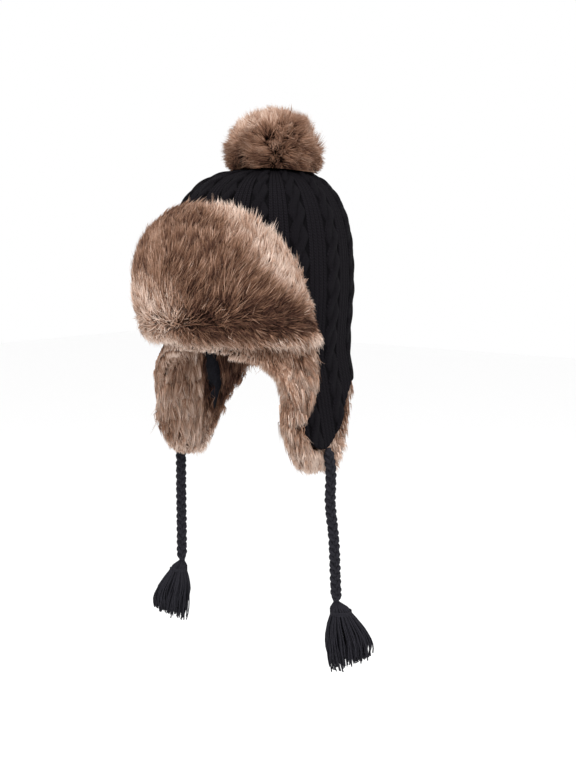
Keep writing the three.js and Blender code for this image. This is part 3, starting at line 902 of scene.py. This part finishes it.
def front_colours(roots, rise, angle, low, far, length, lock, draw):
    """Pale to the right, at the top and below, dark in two spots, with painted shade along the parting
    and on short hairs, and painted light on the lower edge.
    """
    aside, height = aside_of(roots), roots[:, 2]
    right_band = smoothstep(aside - np.interp(height, PALE_HEIGHTS, PALE_ASIDES), -14, 16)
    left_spot = soft_spot(aside, height, *LEFT_PALE_SPOT)
    dark_spot = sum(soft_spot(aside, height, *spot) for spot in DARK_SPOTS)
    rim = smoothstep(rise, *FRONT_RIM)
    top_rim = smoothstep(rise, *FRONT_TOP_RIM)
    left_rim = left_rim_of(rise, angle)
    patch = ripple(roots, size=36, seed=5) * 0.10 + ripple(roots, size=13, seed=6) * 0.12
    pale = 0.33 + 0.80 * right_band + 0.15 * rim + 0.25 * top_rim + 0.80 * left_spot
    pale = pale + 1.0 * low + patch
    # Painted shade in the crease along the parting, but not in the pale spot on the left.
    painted_crease_shade = (1 - smoothstep(far, *FRONT_CREASE_SHADE)) * (1 - left_spot)
    pale += 0.14 * left_rim - 0.16 * dark_spot - 0.20 * painted_crease_shade * (1 - low)
    # Painted shade: shorter hairs, whose tips lie deeper in the pile, are darker.
    short = smoothstep(length, 26, 14)
    pale = np.clip(pale - 0.12 * short, 0.05, 1.4)
    # The tone is raised on the lower edge as painted light on its downward-facing hairs.
    tone = uneven_tone(lock, FRONT_PILE, draw) * (1 - 0.4 * right_band) + 0.13 * low
    return {"pale": pale, "tone": tone}


def front_flap(materials):
    """The fur of the front flap, which fans out from a dark parting near its lower edge."""
    draw = np.random.default_rng(11)
    backing = fur_backing("front_fur_flap", FRONT_PILE)
    backing.materials.append(materials["backing"])

    def keep(middle, facing):
        """More hairs on the faces that look away from the crown."""
        away = unit(middle * np.array([1, 1, 0]))
        return np.clip((facing * away).sum(1) + 0.55, 0.0, 1.0)

    roots, outward = scatter(backing, FRONT_PILE.hairs, draw, keep)
    angle, rise = front_frame(roots)
    fan = from_parting(roots, angle)
    far = np.linalg.norm(fan, axis=1)
    low = 1 - smoothstep(roots[:, 2], *FRONT_LOW)
    rim = smoothstep(rise, *FRONT_RIM)
    end = smoothstep(np.abs(angle), *FRONT_ENDS)
    swirl = ripple(roots, size=40, seed=3)[:, None] * np.cross(outward, unit(fan)) * FRONT_SWIRL
    toward = unit(unit(fan) + swirl - low[:, None] * np.array([0, 0, 1.5]))
    toward = toward * np.minimum(far / 18, 1)[:, None]
    length = FRONT_PILE.length * draw.uniform(*FRONT_PILE.length_shares, len(roots))
    length = length * np.clip(0.5 + 0.035 * far, 0.55, 1.0)
    length *= (1 - 0.35 * end * (1 - rim)) * (1 + 0.5 * low)
    lean = np.clip(0.25 + far / 60, 0, 0.85)
    middles, tips, lock = comb_in_locks(roots, outward, toward, lean, length, FRONT_PILE, draw)
    proud = front_height(rise, angle, low, lock, draw)
    form = form_of("front_fur_flap")
    middles = trimmed(clear_of_crown(middles, MIDDLE_CLEARANCE), form, proud - BELOW_TIPS)
    tips = trimmed(clear_of_crown(tips, FRONT_TIP_CLEARANCE), form, proud)
    tips = under_rim(tips, angle, draw)
    colours = front_colours(roots, rise, angle, low, far, length, lock, draw)
    hairs = hair_mesh("front_flap_fur", roots, middles, tips, FRONT_PILE.radii, draw, colours)
    add_fur("front_flap", "front_fur_flap", backing, hairs, materials)


# The earflaps' fur: a front roll that laps over the knit, a lining of fur, and a bare strip between.
# At each height, the fur ends at EAR_EDGES outside the knit and at EAR_REARS behind the ear.
EAR_HEIGHTS = [-78, -67, -59, -50, -40, -29, -18, -7, 4, 15, 26, 36, 46, 62]
EAR_EDGES = [-40, -54, -55, -56, -58, -57, -50, -37, -26, -18, -13, -11, -12, -20]
EAR_REARS = [-8, 8, 14, 20, 26, 33, 42, 51, 58, 62, 64, 62, 56, 50]
STRIP_HEIGHTS = [-42, -29, -18, -7, 4, 26, 46]
STRIP_MIDDLES = [14, 12, 11, 10, 6, -5, -10]
STRIP_HALF_WIDTHS = [0, 5, 8, 11, 13, 12, 9]
STRIP_INSIDE = -10
RIGHT_BACKING_OUTSIDE = 1.5

# The collar: short hairs on the knit's edge in front of and above an earflap's fur. Between its
# angles on the hem it reaches down to the hem. In front of them it is a narrow band, and behind them
# it stays above the earflap.
COLLAR_HAIRS = 6200
COLLAR_TRIES = 8 * COLLAR_HAIRS
COLLAR_TOP = 64
COLLAR_INNER_TOP = 46
COLLAR_REAR_BOTTOM = 42
COLLAR_BAND = 9
COLLAR_ABOVE_HEM = 0.5
COLLAR_BELOW_HEM = 0.8
COLLAR_OUTSIDE = 1.5
COLLAR_INSIDE = 0.3
COLLAR_ANGLES = (-90, -16)
COLLAR_ON_HEM = (-66, -36)
COLLAR_INNER_REAR = -33
COLLAR_LENGTHS = [(38, 20), (50, 11), (58, 8), (66, 6)]
COLLAR_STRAY = 0.10
COLLAR_LOCK_WIDTH = 6.0
COLLAR_LOCK_PULL = 0.3
EDGE_SHARE = 0.22
INNER_SHARE = 0.55
HEM_MM_PER_DEGREE = 1.7


def front_edge(points):
    """Where the fur ends on the outside of the knit at the height of each point."""
    return np.interp(points[:, 2], EAR_HEIGHTS, EAR_EDGES)


def rear_edge(points):
    """Where the fur ends behind the ear at the height of each point."""
    return np.interp(points[:, 2], EAR_HEIGHTS, EAR_REARS)


def from_strip(points):
    """How far points are from the bare strip of lining, and minus on it."""
    middle = np.interp(points[:, 2], STRIP_HEIGHTS, STRIP_MIDDLES)
    half = np.interp(points[:, 2], STRIP_HEIGHTS, STRIP_HALF_WIDTHS)
    return np.abs(points[:, 1] - middle) - half


def on_strip(points):
    """Whether points are on the bare strip between the front and the rear fur."""
    return (from_strip(points) < 0) & (outside_cloth(points) < STRIP_INSIDE)


def collar_places(draw):
    """Angles and heights of the collar's hairs, and which lie on the knit's inner face."""
    angle = draw.uniform(*COLLAR_ANGLES, COLLAR_TRIES)
    height = draw.uniform(0, COLLAR_TOP, COLLAR_TRIES)
    hem = hem_height(angle)
    front, rear = COLLAR_ON_HEM
    lowest = np.where(angle < rear, hem + COLLAR_ABOVE_HEM, COLLAR_REAR_BOTTOM)
    highest = np.where(angle < front, hem + COLLAR_BAND, COLLAR_TOP)
    inner = (draw.random(COLLAR_TRIES) < INNER_SHARE) & (angle < COLLAR_INNER_REAR)
    lowest = np.where(inner, hem + COLLAR_ABOVE_HEM, lowest)
    highest = np.where(inner & (angle > front), COLLAR_INNER_TOP, highest)
    chosen = np.flatnonzero((height > lowest) & (height < highest))[:COLLAR_HAIRS]
    return angle[chosen], height[chosen], inner[chosen]


def along_hem(count, draw):
    """Angles spread evenly along the length of the sloping hem."""
    fine = np.linspace(*COLLAR_ON_HEM, 80)
    steps = np.hypot(np.diff(fine) * HEM_MM_PER_DEGREE, np.diff(hem_height(fine)))
    travelled = np.concatenate([[0], np.cumsum(steps)])
    return np.interp(draw.uniform(0, travelled[-1], count), travelled, fine)


def collar(side, draw):
    """Short hairs on both faces of the knit's edge in front of and above an earflap's fur."""
    angle, height, inner = collar_places(draw)
    count = len(angle)
    on_edge = draw.random(count) < EDGE_SHARE
    angle = np.where(on_edge, along_hem(count, draw), angle)
    around = np.where(side > 0, angle, 180 - angle)
    height = np.where(on_edge, hem_height(angle) - COLLAR_BELOW_HEM, height)
    offset = np.where(inner, -KNIT_WALL - COLLAR_INSIDE, COLLAR_OUTSIDE)
    offset = np.where(on_edge, draw.uniform(-KNIT_WALL, COLLAR_OUTSIDE, count), offset)
    roots = side_point(around, height, offset)
    turn = np.radians(around)
    outward = np.stack([np.cos(turn), np.sin(turn), 0 * turn], 1) * np.where(inner, -1, 1)[:, None]
    forward = np.array([-0.5, -1.0, -0.3]) if side > 0 else np.array([1.0, -0.5, -0.5])
    outward = np.where(on_edge[:, None], unit(forward), outward)
    front = smoothstep(-angle, 38, 54)
    toward = unit(np.stack([0 * turn, 0.35 - 0.40 * front, -1 + 0 * turn], 1))
    length = np.interp(-angle, *zip(*COLLAR_LENGTHS)) * draw.uniform(0.7, 1.1, count)
    length = np.where(on_edge, draw.uniform(6, 11, count), length)
    on_face = 0.4 if side > 0 else 0.15 + 0.35 * smoothstep(height, 15, 40)
    stand = np.where(on_edge, 0.8, on_face)[:, None]
    lean = np.full(count, 0.95)
    middles, tips = comb(roots, outward, toward, lean, length, draw, COLLAR_STRAY, stand)
    lock = np.arange(count)
    for face in (inner & ~on_edge, ~inner & ~on_edge):
        rows = np.flatnonzero(face)
        middles[rows], tips[rows], leaders = gather_in_locks(
            roots[rows], middles[rows], tips[rows], COLLAR_LOCK_WIDTH, COLLAR_LOCK_PULL, draw)
        lock[rows] = rows[leaders]
    return roots, middles, tips, lock


def ear_backing(node, side, materials):
    """The backing of an earflap's fur, with the bare strip of lining, thin outside the right one."""
    backing = fur_backing(node, EAR_PILE)
    backing.materials.append(materials["backing"])
    backing.materials.append(materials["lining"])
    if side < 0:
        places = from_part(np.array([vert.co[:] for vert in backing.vertices]))
        outside = np.clip(outside_cloth(places) - RIGHT_BACKING_OUTSIDE, 0, None)
        places[:, 0] += np.where(beside_cloth(places), outside, 0)
        backing.vertices.foreach_set("co", to_part(places).ravel())
        backing.update()
    faces = from_part(np.array([face.center[:] for face in backing.polygons]))
    backing.polygons.foreach_set("material_index", on_strip(faces).astype(int))
    return backing


def ear_heading(roots, side, front, rear, tip, outside, below):
    """The way in which an earflap's hairs are combed: down, and out over its edges."""
    forward = smoothstep(roots[:, 2], 0, 40) * front
    over_front = -0.10 * front * (1 - outside) - 0.25 * forward
    toward = np.stack([
        side * (0.06 * outside - 0.05 + 0.55 * rear + 0.20 * below),
        over_front + 0.34 * outside * (1 - front) + 1.10 * rear,
        -1.0 - 0.5 * tip,
    ], 1)
    toward[:, 1] += 0.14 * ripple(roots, size=46, seed=7 + side)
    toward[:, 0] += 0.08 * ripple(roots, size=38, seed=9 + side)
    return unit(toward)


def off_cloth(points, side, outside, rear, draw):
    """Keeps hairs that grow outside the knit above it and off its edge, and the others inside."""
    count = len(points)
    near = outside_cloth(points)
    beside = beside_cloth(points)
    moved = points.copy()
    height = draw.uniform(2.0, 6.0, count) if side > 0 else draw.uniform(1.5, 3.5, count)
    above = (outside > 0.5) & (near < height) & beside
    moved[:, 0] = np.where(above, points[:, 0] + side * (height - near), points[:, 0])
    depth = draw.uniform(5.0, 9.0, count)
    sunk = (outside <= 0.5) & (near > -depth) & beside & (rear < 0.5)
    moved[:, 0] = np.where(sunk, points[:, 0] - side * (near + depth), moved[:, 0])
    if side < 0:
        widest = np.where(beside, draw.uniform(2.5, 6.5, count), draw.uniform(-4.0, 0.5, count))
        wide = (near > widest) & (rear < 0.5) & (points[:, 2] < 45)
        moved[:, 0] = np.where(wide, points[:, 0] + (near - widest), moved[:, 0])
    limit = front_edge(points) + draw.uniform(-5, 2, count)
    moved[:, 1] = np.where((outside > 0.5) & beside, np.minimum(moved[:, 1], limit), moved[:, 1])
    return moved


def ear_painted_shade(roots):
    """How much painted shade darkens the hairs on an earflap's inner side, toward its rear and most of
    all beside the bare strip.
    """
    from_rear = roots[:, 1] - rear_edge(roots)
    inner = smoothstep(-outside_cloth(roots), 8, 14)
    inner_rear = smoothstep(roots[:, 1], -6, 12) * inner
    inner_rear *= (1 - smoothstep(from_rear, -20, -6)) * smoothstep(roots[:, 2], -40, -25)
    beside_strip = (1 - smoothstep(from_strip(roots), 2, 16)) * inner
    beside_strip *= smoothstep(roots[:, 2], -36, -20)
    return np.maximum(0.9 * inner_rear, 0.75 * beside_strip)


def ear_colours(roots, side, dark, lock, draw):
    """Paler toward the tip of an earflap and in the middle under the front flap, and darker by the
    painted shade in dark.
    """
    patch = ripple(roots, size=34, seed=12 + side) * 0.13
    patch = patch + ripple(roots, size=13, seed=14 + side) * 0.10
    pale = 0.74 + patch + 0.35 * smoothstep(-roots[:, 2], 30, 70) - dark
    if side > 0:
        pale = pale + 0.06 + 0.14 * smoothstep(-roots[:, 2], 20, 50)
    middle_front = 1 - smoothstep(np.abs(front_frame(roots)[0]), 22, 40)
    pale = pale + 0.4 * middle_front
    pale = np.clip(pale - 0.15 * smoothstep(roots[:, 2], 38, 60), 0, 1.35)
    return {"pale": pale, "tone": uneven_tone(lock, EAR_PILE, draw)}


def ear_flap(side_name, materials):
    """The fur of one earflap, combed down and out over its edges."""
    side = 1 if side_name == "left" else -1
    node = "ear_fur_" + side_name
    draw = np.random.default_rng(21 if side > 0 else 22)
    backing = ear_backing(node, side, materials)

    def keep(middle, facing):
        """None behind the knit, on its edge or on the strip, and more along the rim."""
        gap = outside_cloth(middle)
        behind_knit = (facing[:, 0] * side > 0.25) & (gap < 0.5) & beside_cloth(middle)
        at_edge = (gap > 0) & (middle[:, 1] > front_edge(middle) - 9)
        rim = smoothstep(middle[:, 1] - rear_edge(middle), -14, -2)
        rim = rim + smoothstep(-middle[:, 2], 44, 70)
        return np.where(behind_knit | at_edge | on_strip(middle), 0.0, 1.0 + 1.2 * rim)

    roots, outward = scatter(backing, EAR_PILE.hairs, draw, keep)
    count = len(roots)
    front = smoothstep(-roots[:, 1], 20, 66)
    rear = smoothstep(roots[:, 1] - rear_edge(roots), -16, -3)
    tip = smoothstep(-roots[:, 2], 30, 80)
    outside = smoothstep(outside_cloth(roots), -6, 2)
    below = smoothstep(-roots[:, 2], 46, 60)
    toward = ear_heading(roots, side, front, rear, tip, outside, below)
    near_edge = outside * smoothstep(roots[:, 1] - front_edge(roots), -30, -12)
    length = EAR_PILE.length * draw.uniform(*EAR_PILE.length_shares, count)
    length *= mix(1.0, 0.8, tip) * (1 - 0.35 * near_edge)
    lean = np.clip(0.82 + 0.1 * draw.normal(size=count), 0.4, 1.0)
    middles, tips, lock = comb_in_locks(roots, outward, toward, lean, length, EAR_PILE, draw)
    proud = uneven_height(lock, EAR_PILE.lock_heights, EAR_PILE.hair_heights, draw)
    proud += rear * draw.uniform(3, 12, count)
    if side > 0:
        loose = front * smoothstep(-roots[:, 2], 0, 35) + 0.3 * below
        proud += loose * draw.uniform(2, 8, count)
    else:
        proud += rear * 4 - 1.5 * outside * smoothstep(40 - roots[:, 2], 0, 20)
    form = form_of(node)
    middles = off_cloth(trimmed(middles, form, proud - 1.5), side, outside, rear, draw)
    tips = off_cloth(trimmed(tips, form, proud + 1.0), side, outside, rear, draw)
    # Painted shade on the hairs of the earflap's inner side.
    dark = ear_painted_shade(roots)
    *more, more_locks = collar(side, draw)
    roots, middles, tips = (np.concatenate(both) for both in zip((roots, middles, tips), more))
    lock = np.concatenate([lock, count + more_locks])
    dark = np.concatenate([dark, np.zeros(len(more_locks))])
    colours = ear_colours(roots, side, dark, lock, draw)
    name = "ear_flap_fur_" + side_name
    hairs = hair_mesh(name, roots, middles, tips, EAR_PILE.radii, draw, colours)
    add_fur("ear_flap", node, backing, hairs, materials, "_" + side_name)


# The pompom, with the height of its middle and the direction in which its locks part.
POMPOM_MIDDLE = 252
POMPOM_WHORL = (0.58, -0.72, -0.45)
POMPOM_TIP_CLEARANCE = 3.0


def make_pompom(materials):
    """A ball of loose radial locks."""
    draw = np.random.default_rng(31)
    backing = fur_backing("pompom", POMPOM_PILE, seated=True)
    backing.materials.append(materials["backing"])

    def keep(middle, facing):
        """Fewer hairs on the face that sits on the knit."""
        return np.clip(2 * facing[:, 2] + 2.0, 0.05, 1.0)

    roots, outward = scatter(backing, POMPOM_PILE.hairs, draw, keep)
    count = len(roots)
    radial = unit(roots - np.array([0, POMPOM_SET_BACK, POMPOM_MIDDLE]))
    whorl = unit(np.array(POMPOM_WHORL))
    away = unit(radial - (radial @ whorl)[:, None] * whorl)
    wave = np.stack([ripple(roots, size=24, seed=40 + axis) for axis in range(3)], 1)
    low = 1 - smoothstep(radial[:, 2], -0.7, 0.1)
    high = smoothstep(radial[:, 2], 0.3, 0.9)
    toward = unit(0.6 * radial + 0.25 * away + 1.0 * wave - low[:, None] * np.array([0, 0, 1.6]))
    length = POMPOM_PILE.length * draw.uniform(*POMPOM_PILE.length_shares, count)
    length = length * (1 + 0.2 * low)
    lean = np.full(count, 0.6)
    middles, tips, lock = comb_in_locks(roots, outward, toward, lean, length, POMPOM_PILE, draw)
    proud = uneven_height(lock, POMPOM_PILE.lock_heights, POMPOM_PILE.hair_heights, draw)
    proud = proud + 9 * low + 2 * high
    form = form_of("pompom")
    middles = clear_of_crown(trimmed(middles, form, proud - BELOW_TIPS), MIDDLE_CLEARANCE)
    tips = clear_of_crown(trimmed(tips, form, proud), POMPOM_TIP_CLEARANCE)
    # Painted light: the pompom is paler on top and toward the upper left, as seen from the front left.
    top = smoothstep(radial[:, 2], -0.4, 0.8)
    patch = ripple(roots, size=30, seed=51) * 0.14 + ripple(roots, size=12, seed=52) * 0.16
    # Painted shade in the whorl, where the locks part.
    core = smoothstep(radial @ whorl, 0.5, 1.0)
    painted_light_upper_left = smoothstep(radial[:, 2] - aside_of(radial), 0.1, 1.2)
    pale = np.clip(0.42 + 0.22 * top + 0.12 * painted_light_upper_left + patch - 0.20 * core, 0, 1.0)
    colours = {"pale": pale, "tone": uneven_tone(lock, POMPOM_PILE, draw)}
    hairs = hair_mesh("pompom_fur", roots, middles, tips, POMPOM_PILE.radii, draw, colours)
    add_fur("pompom", "pompom", backing, hairs, materials)


# The ties: plaits of three strands, each of three yarns, round a thin core. Sizes are in metres.
PLAIT_PERIOD = 0.0225
PLAIT_SWING = 0.0036
PLAIT_DEPTH = 0.0016
PLAIT_STEPS = 22
PLAIT_STRANDS = 3
PLAIT_END = 0.006
PLAIT_END_SWING = 0.25
YARNS_PER_STRAND = 3
YARN_RADIUS = 0.00140
YARN_OFFSET = 0.00115
YARN_TWIST = 0.014
PLAIT_CORE_RADIUS = 0.0021
CORE_INSET_STEPS = 3
ROUTE_SMOOTHINGS = 8
SAME_POINT = 1e-7


def resample(route, step):
    """Points at even steps along a smooth curve through a route, with their distances."""
    points = np.array(route)
    chord = np.concatenate([[0], np.cumsum(np.linalg.norm(np.diff(points, axis=0), axis=1))])
    places = np.append(np.arange(0, chord[-1], step), chord[-1])
    smooth = np.stack([np.interp(places, chord, points[:, axis]) for axis in range(3)], 1)
    for _ in range(ROUTE_SMOOTHINGS):
        smooth[1:-1] = 0.5 * smooth[1:-1] + 0.25 * (smooth[:-2] + smooth[2:])
    return smooth, places


def tubes(name, lines, radius, roundness, materials):
    """A piece of closed yarn tubes along lines, made by a bevelled curve and joined in one mesh."""
    curve = bpy.data.curves.new(name + "_lines", "CURVE")
    curve.dimensions = "3D"
    curve.bevel_depth = radius
    curve.bevel_resolution = roundness
    curve.use_fill_caps = True
    for line in lines:
        spline = curve.splines.new("POLY")
        spline.points.add(len(line) - 1)
        spline.points.foreach_set("co", np.concatenate([line, np.ones((len(line), 1))], 1).ravel())
    carrier = bpy.data.objects.new(name + "_carrier", curve)
    bpy.context.collection.objects.link(carrier)
    view = bpy.context.evaluated_depsgraph_get()
    drawn = bpy.data.meshes.new_from_object(carrier.evaluated_get(view))
    bpy.data.objects.remove(carrier)
    bpy.data.curves.remove(curve)
    shape = bmesh.new()
    shape.from_mesh(drawn)
    bpy.data.meshes.remove(drawn)
    bmesh.ops.remove_doubles(shape, verts=shape.verts, dist=SAME_POINT)
    bmesh.ops.recalc_face_normals(shape, faces=shape.faces)
    mesh = mesh_of(shape, name)
    mesh.materials.append(materials["yarn"])
    return link(name, mesh)


def make_plait(side_name, route, materials):
    """One plaited tie, which hangs straight down from the tip of an earflap."""
    line, places = resample(route, PLAIT_PERIOD / PLAIT_STEPS)
    heading = math.radians(CAMERA_AZIMUTH)
    across = np.array([math.cos(heading), math.sin(heading), 0])
    deep = np.array([-math.sin(heading), math.cos(heading), 0])
    phase = 2 * math.pi * places / PLAIT_PERIOD
    from_end = np.minimum(places, places[-1] - places)
    ends = np.clip(from_end / PLAIT_END, PLAIT_END_SWING, 1)
    lines = []
    for strand in range(PLAIT_STRANDS):
        turn = phase + strand * 2 * math.pi / PLAIT_STRANDS
        swing = PLAIT_SWING * np.sin(turn) * ends
        depth = PLAIT_DEPTH * np.sin(2 * turn) * ends
        middle = line + swing[:, None] * across + depth[:, None] * deep
        for yarn in range(YARNS_PER_STRAND):
            twist = 2 * math.pi * (places / YARN_TWIST + yarn / YARNS_PER_STRAND)
            offset = YARN_OFFSET * (np.cos(twist)[:, None] * across + np.sin(twist)[:, None] * deep)
            lines.append(middle + offset)
    plait = tubes("plait_" + side_name, lines, YARN_RADIUS, 1, materials)
    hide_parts("braid_" + side_name)
    core_line = line[CORE_INSET_STEPS:-CORE_INSET_STEPS]
    core = tubes("plait_core_" + side_name, [core_line], PLAIT_CORE_RADIUS, 2, materials)
    return plait, core, line


# The tassels: yarns that leave the end of a tie, are bound once and flare to one side.
# Each row has the drop from the tie's end, the swing to the side, and the half-widths, in millimetres.
TASSEL_ROWS = [
    (0.0, 0.0, 2.5, 2.5),
    (2.5, 1.2, 6.5, 6.0),
    (6.0, 2.8, 9.2, 8.2),
    (10.5, 4.6, 10.2, 8.8),
    (15.0, 5.8, 13.0, 10.5),
    (22.0, 7.5, 17.2, 12.5),
    (32.0, 10.5, 21.2, 14.5),
    (43.0, 13.2, 22.0, 15.0),
    (53.0, 14.2, 20.5, 14.5),
    (64.0, 15.4, 18.8, 13.5),
]
TASSEL_LENGTH = TASSEL_ROWS[-1][0]
TASSEL_SWING_TURN = 40
TASSEL_TILT = 7
TASSEL_YARNS = 240
TASSEL_YARN_RADIUS = 0.00075
TASSEL_STEPS = 11
TASSEL_CUTS = (0.78, 0.95, 1.03)
TASSEL_CROWDING = 0.35
TASSEL_LOOSE = (14, 60)
TASSEL_WAVE = 1.6
TASSEL_WAVE_LENGTHS = (6, 11)
TASSEL_SCATTER = 0.10
BINDING_DROP = 10.5
BINDING_TURNS = 3
BINDING_STEPS = 24
BINDING_STAND = 0.5
BINDING_RISE = 2
BINDING_PITCH = 1.3
BINDING_RADIUS = 0.0008


def tassel_form(drop):
    """The swing and the two half-widths of a tassel at a drop below the tie's end."""
    table = np.array(TASSEL_ROWS)
    return (np.interp(drop, table[:, 0], table[:, column]) for column in (1, 2, 3))


def yarn_wave(drop, draw):
    """The waves in a loose yarn, in millimetres."""
    return TASSEL_WAVE * np.sin(drop / draw.uniform(*TASSEL_WAVE_LENGTHS) + draw.uniform(0, ANY_PHASE))


def tassel_yarn(draw):
    """One loose yarn of a tassel: its places across and deep, its drops and how far it is lifted."""
    around = draw.uniform(0, 2 * math.pi)
    out = draw.uniform(0.02, 1.0) ** TASSEL_CROWDING
    last = TASSEL_LENGTH * draw.triangular(*TASSEL_CUTS) - 0.5
    drop = np.linspace(0, last, TASSEL_STEPS)
    swing, across, deep = tassel_form(drop)
    loose = smoothstep(drop, *TASSEL_LOOSE)
    wave_across = loose * yarn_wave(drop, draw)
    wave_deep = loose * yarn_wave(drop, draw)
    spread = out * (1 + TASSEL_SCATTER * loose * draw.normal())
    x = swing + across * spread * math.cos(around) + wave_across
    y = deep * spread * math.sin(around) + wave_deep
    tilt = TASSEL_TILT * (drop / TASSEL_LENGTH) ** 2 * out * math.cos(around)
    return x, y, drop, tilt


def make_tassel(side_name, route, fullness, reach, materials):
    """One tassel with its binding, full and long by shares of the form in TASSEL_ROWS."""
    side = 1 if side_name == "left" else -1
    draw = np.random.default_rng(41 if side > 0 else 42)
    end = np.array(route[-1])
    turn = math.radians(TASSEL_SWING_TURN)
    across_way = np.array([math.cos(turn), math.sin(turn), 0]) * side
    deep_way = np.array([-math.sin(turn), math.cos(turn), 0]) * side
    lines = []
    for _ in range(TASSEL_YARNS):
        x, y, drop, tilt = tassel_yarn(draw)
        place = fullness * (x[:, None] * across_way + y[:, None] * deep_way) * MM
        place[:, 2] -= (drop * reach - tilt) * MM
        lines.append(end + place)
    yarns = tubes("tassel_yarns_" + side_name, lines, TASSEL_YARN_RADIUS, 0, materials)
    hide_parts("tassel_" + side_name)
    swing, across, deep = tassel_form(BINDING_DROP)
    spin = np.linspace(0, 2 * math.pi * BINDING_TURNS, BINDING_STEPS * BINDING_TURNS)
    x = swing + (across + BINDING_STAND) * np.cos(spin)
    y = (deep + BINDING_STAND) * np.sin(spin)
    ring = fullness * (x[:, None] * across_way + y[:, None] * deep_way) * MM
    ring[:, 2] -= (BINDING_DROP - BINDING_RISE + BINDING_PITCH * spin / (2 * math.pi)) * MM * reach
    binding = tubes("tassel_binding_" + side_name, [end + ring], BINDING_RADIUS, 1, materials)
    return yarns, binding


def make_tie(side_name, route, fullness, reach, materials):
    """One tie with its tassel, which hangs from the tip of an earflap."""
    plait, core, line = make_plait(side_name, route, materials)
    yarns, binding = make_tassel(side_name, route, fullness, reach, materials)


# The stage. Each light has its name, place, power in watts and size in metres.
FLOOR_SIZE = 6.0
FLOOR_DROP = 0.35
FLOOR_COLOUR = (0.97, 0.97, 0.97, 1)
SURROUNDINGS = (1, 1, 1, 1)
LIGHTS = [
    ("key", (0.5, -1.3, 0.9), 22, 0.9),
    ("top", (-0.3, 0.1, 1.2), 6, 0.8),
    ("side", (1.4, 0.4, 0.3), 8, 0.8),
]
LIT_PLACE = (0, 0, -0.15)


def make_floor():
    """A pale floor well below the tassels."""
    shape = bmesh.new()
    bmesh.ops.create_grid(shape, x_segments=1, y_segments=1, size=FLOOR_SIZE)
    bmesh.ops.translate(shape, verts=shape.verts, vec=(0, 0, CAD_BOX[0].z - FLOOR_DROP))
    mesh = bpy.data.meshes.new("floor")
    shape.to_mesh(mesh)
    shape.free()
    material, _, _, shader = new_material("pale_floor")
    shader.inputs["Base Color"].default_value = FLOOR_COLOUR
    shader.inputs["Roughness"].default_value = 0.9
    mesh.materials.append(material)
    floor = bpy.data.objects.new("floor", mesh)
    bpy.context.collection.objects.link(floor)


def make_lights():
    """White surroundings and soft lights."""
    world = bpy.data.worlds.new("studio")
    world.use_nodes = True
    background = world.node_tree.nodes["Background"]
    background.inputs["Color"].default_value = SURROUNDINGS
    background.inputs["Strength"].default_value = 1.0
    bpy.context.scene.world = world
    for name, place, power, size in LIGHTS:
        data = bpy.data.lights.new(name, "AREA")
        data.energy = power
        data.size = size
        light = bpy.data.objects.new(name, data)
        bpy.context.collection.objects.link(light)
        light.location = place
        aim = Vector(LIT_PLACE) - light.location
        light.rotation_euler = aim.to_track_quat("-Z", "Y").to_euler()


make_camera()
bpy.context.scene.view_settings.view_transform = "Standard"
MATERIALS = {
    "fur": fur_material(),
    "backing": fur_backing_material(),
    "knit": knit_material(),
    "yarn": yarn_material(),
    "lining": lining_material(),
}
make_tie("left", LEFT_ROUTE, 1.0, 1.05, MATERIALS)
make_tie("right", RIGHT_ROUTE, 0.86, 0.98, MATERIALS)
make_knit(MATERIALS["knit"])
front_flap(MATERIALS)
ear_flap("left", MATERIALS)
ear_flap("right", MATERIALS)
make_pompom(MATERIALS)
make_floor()
make_lights()
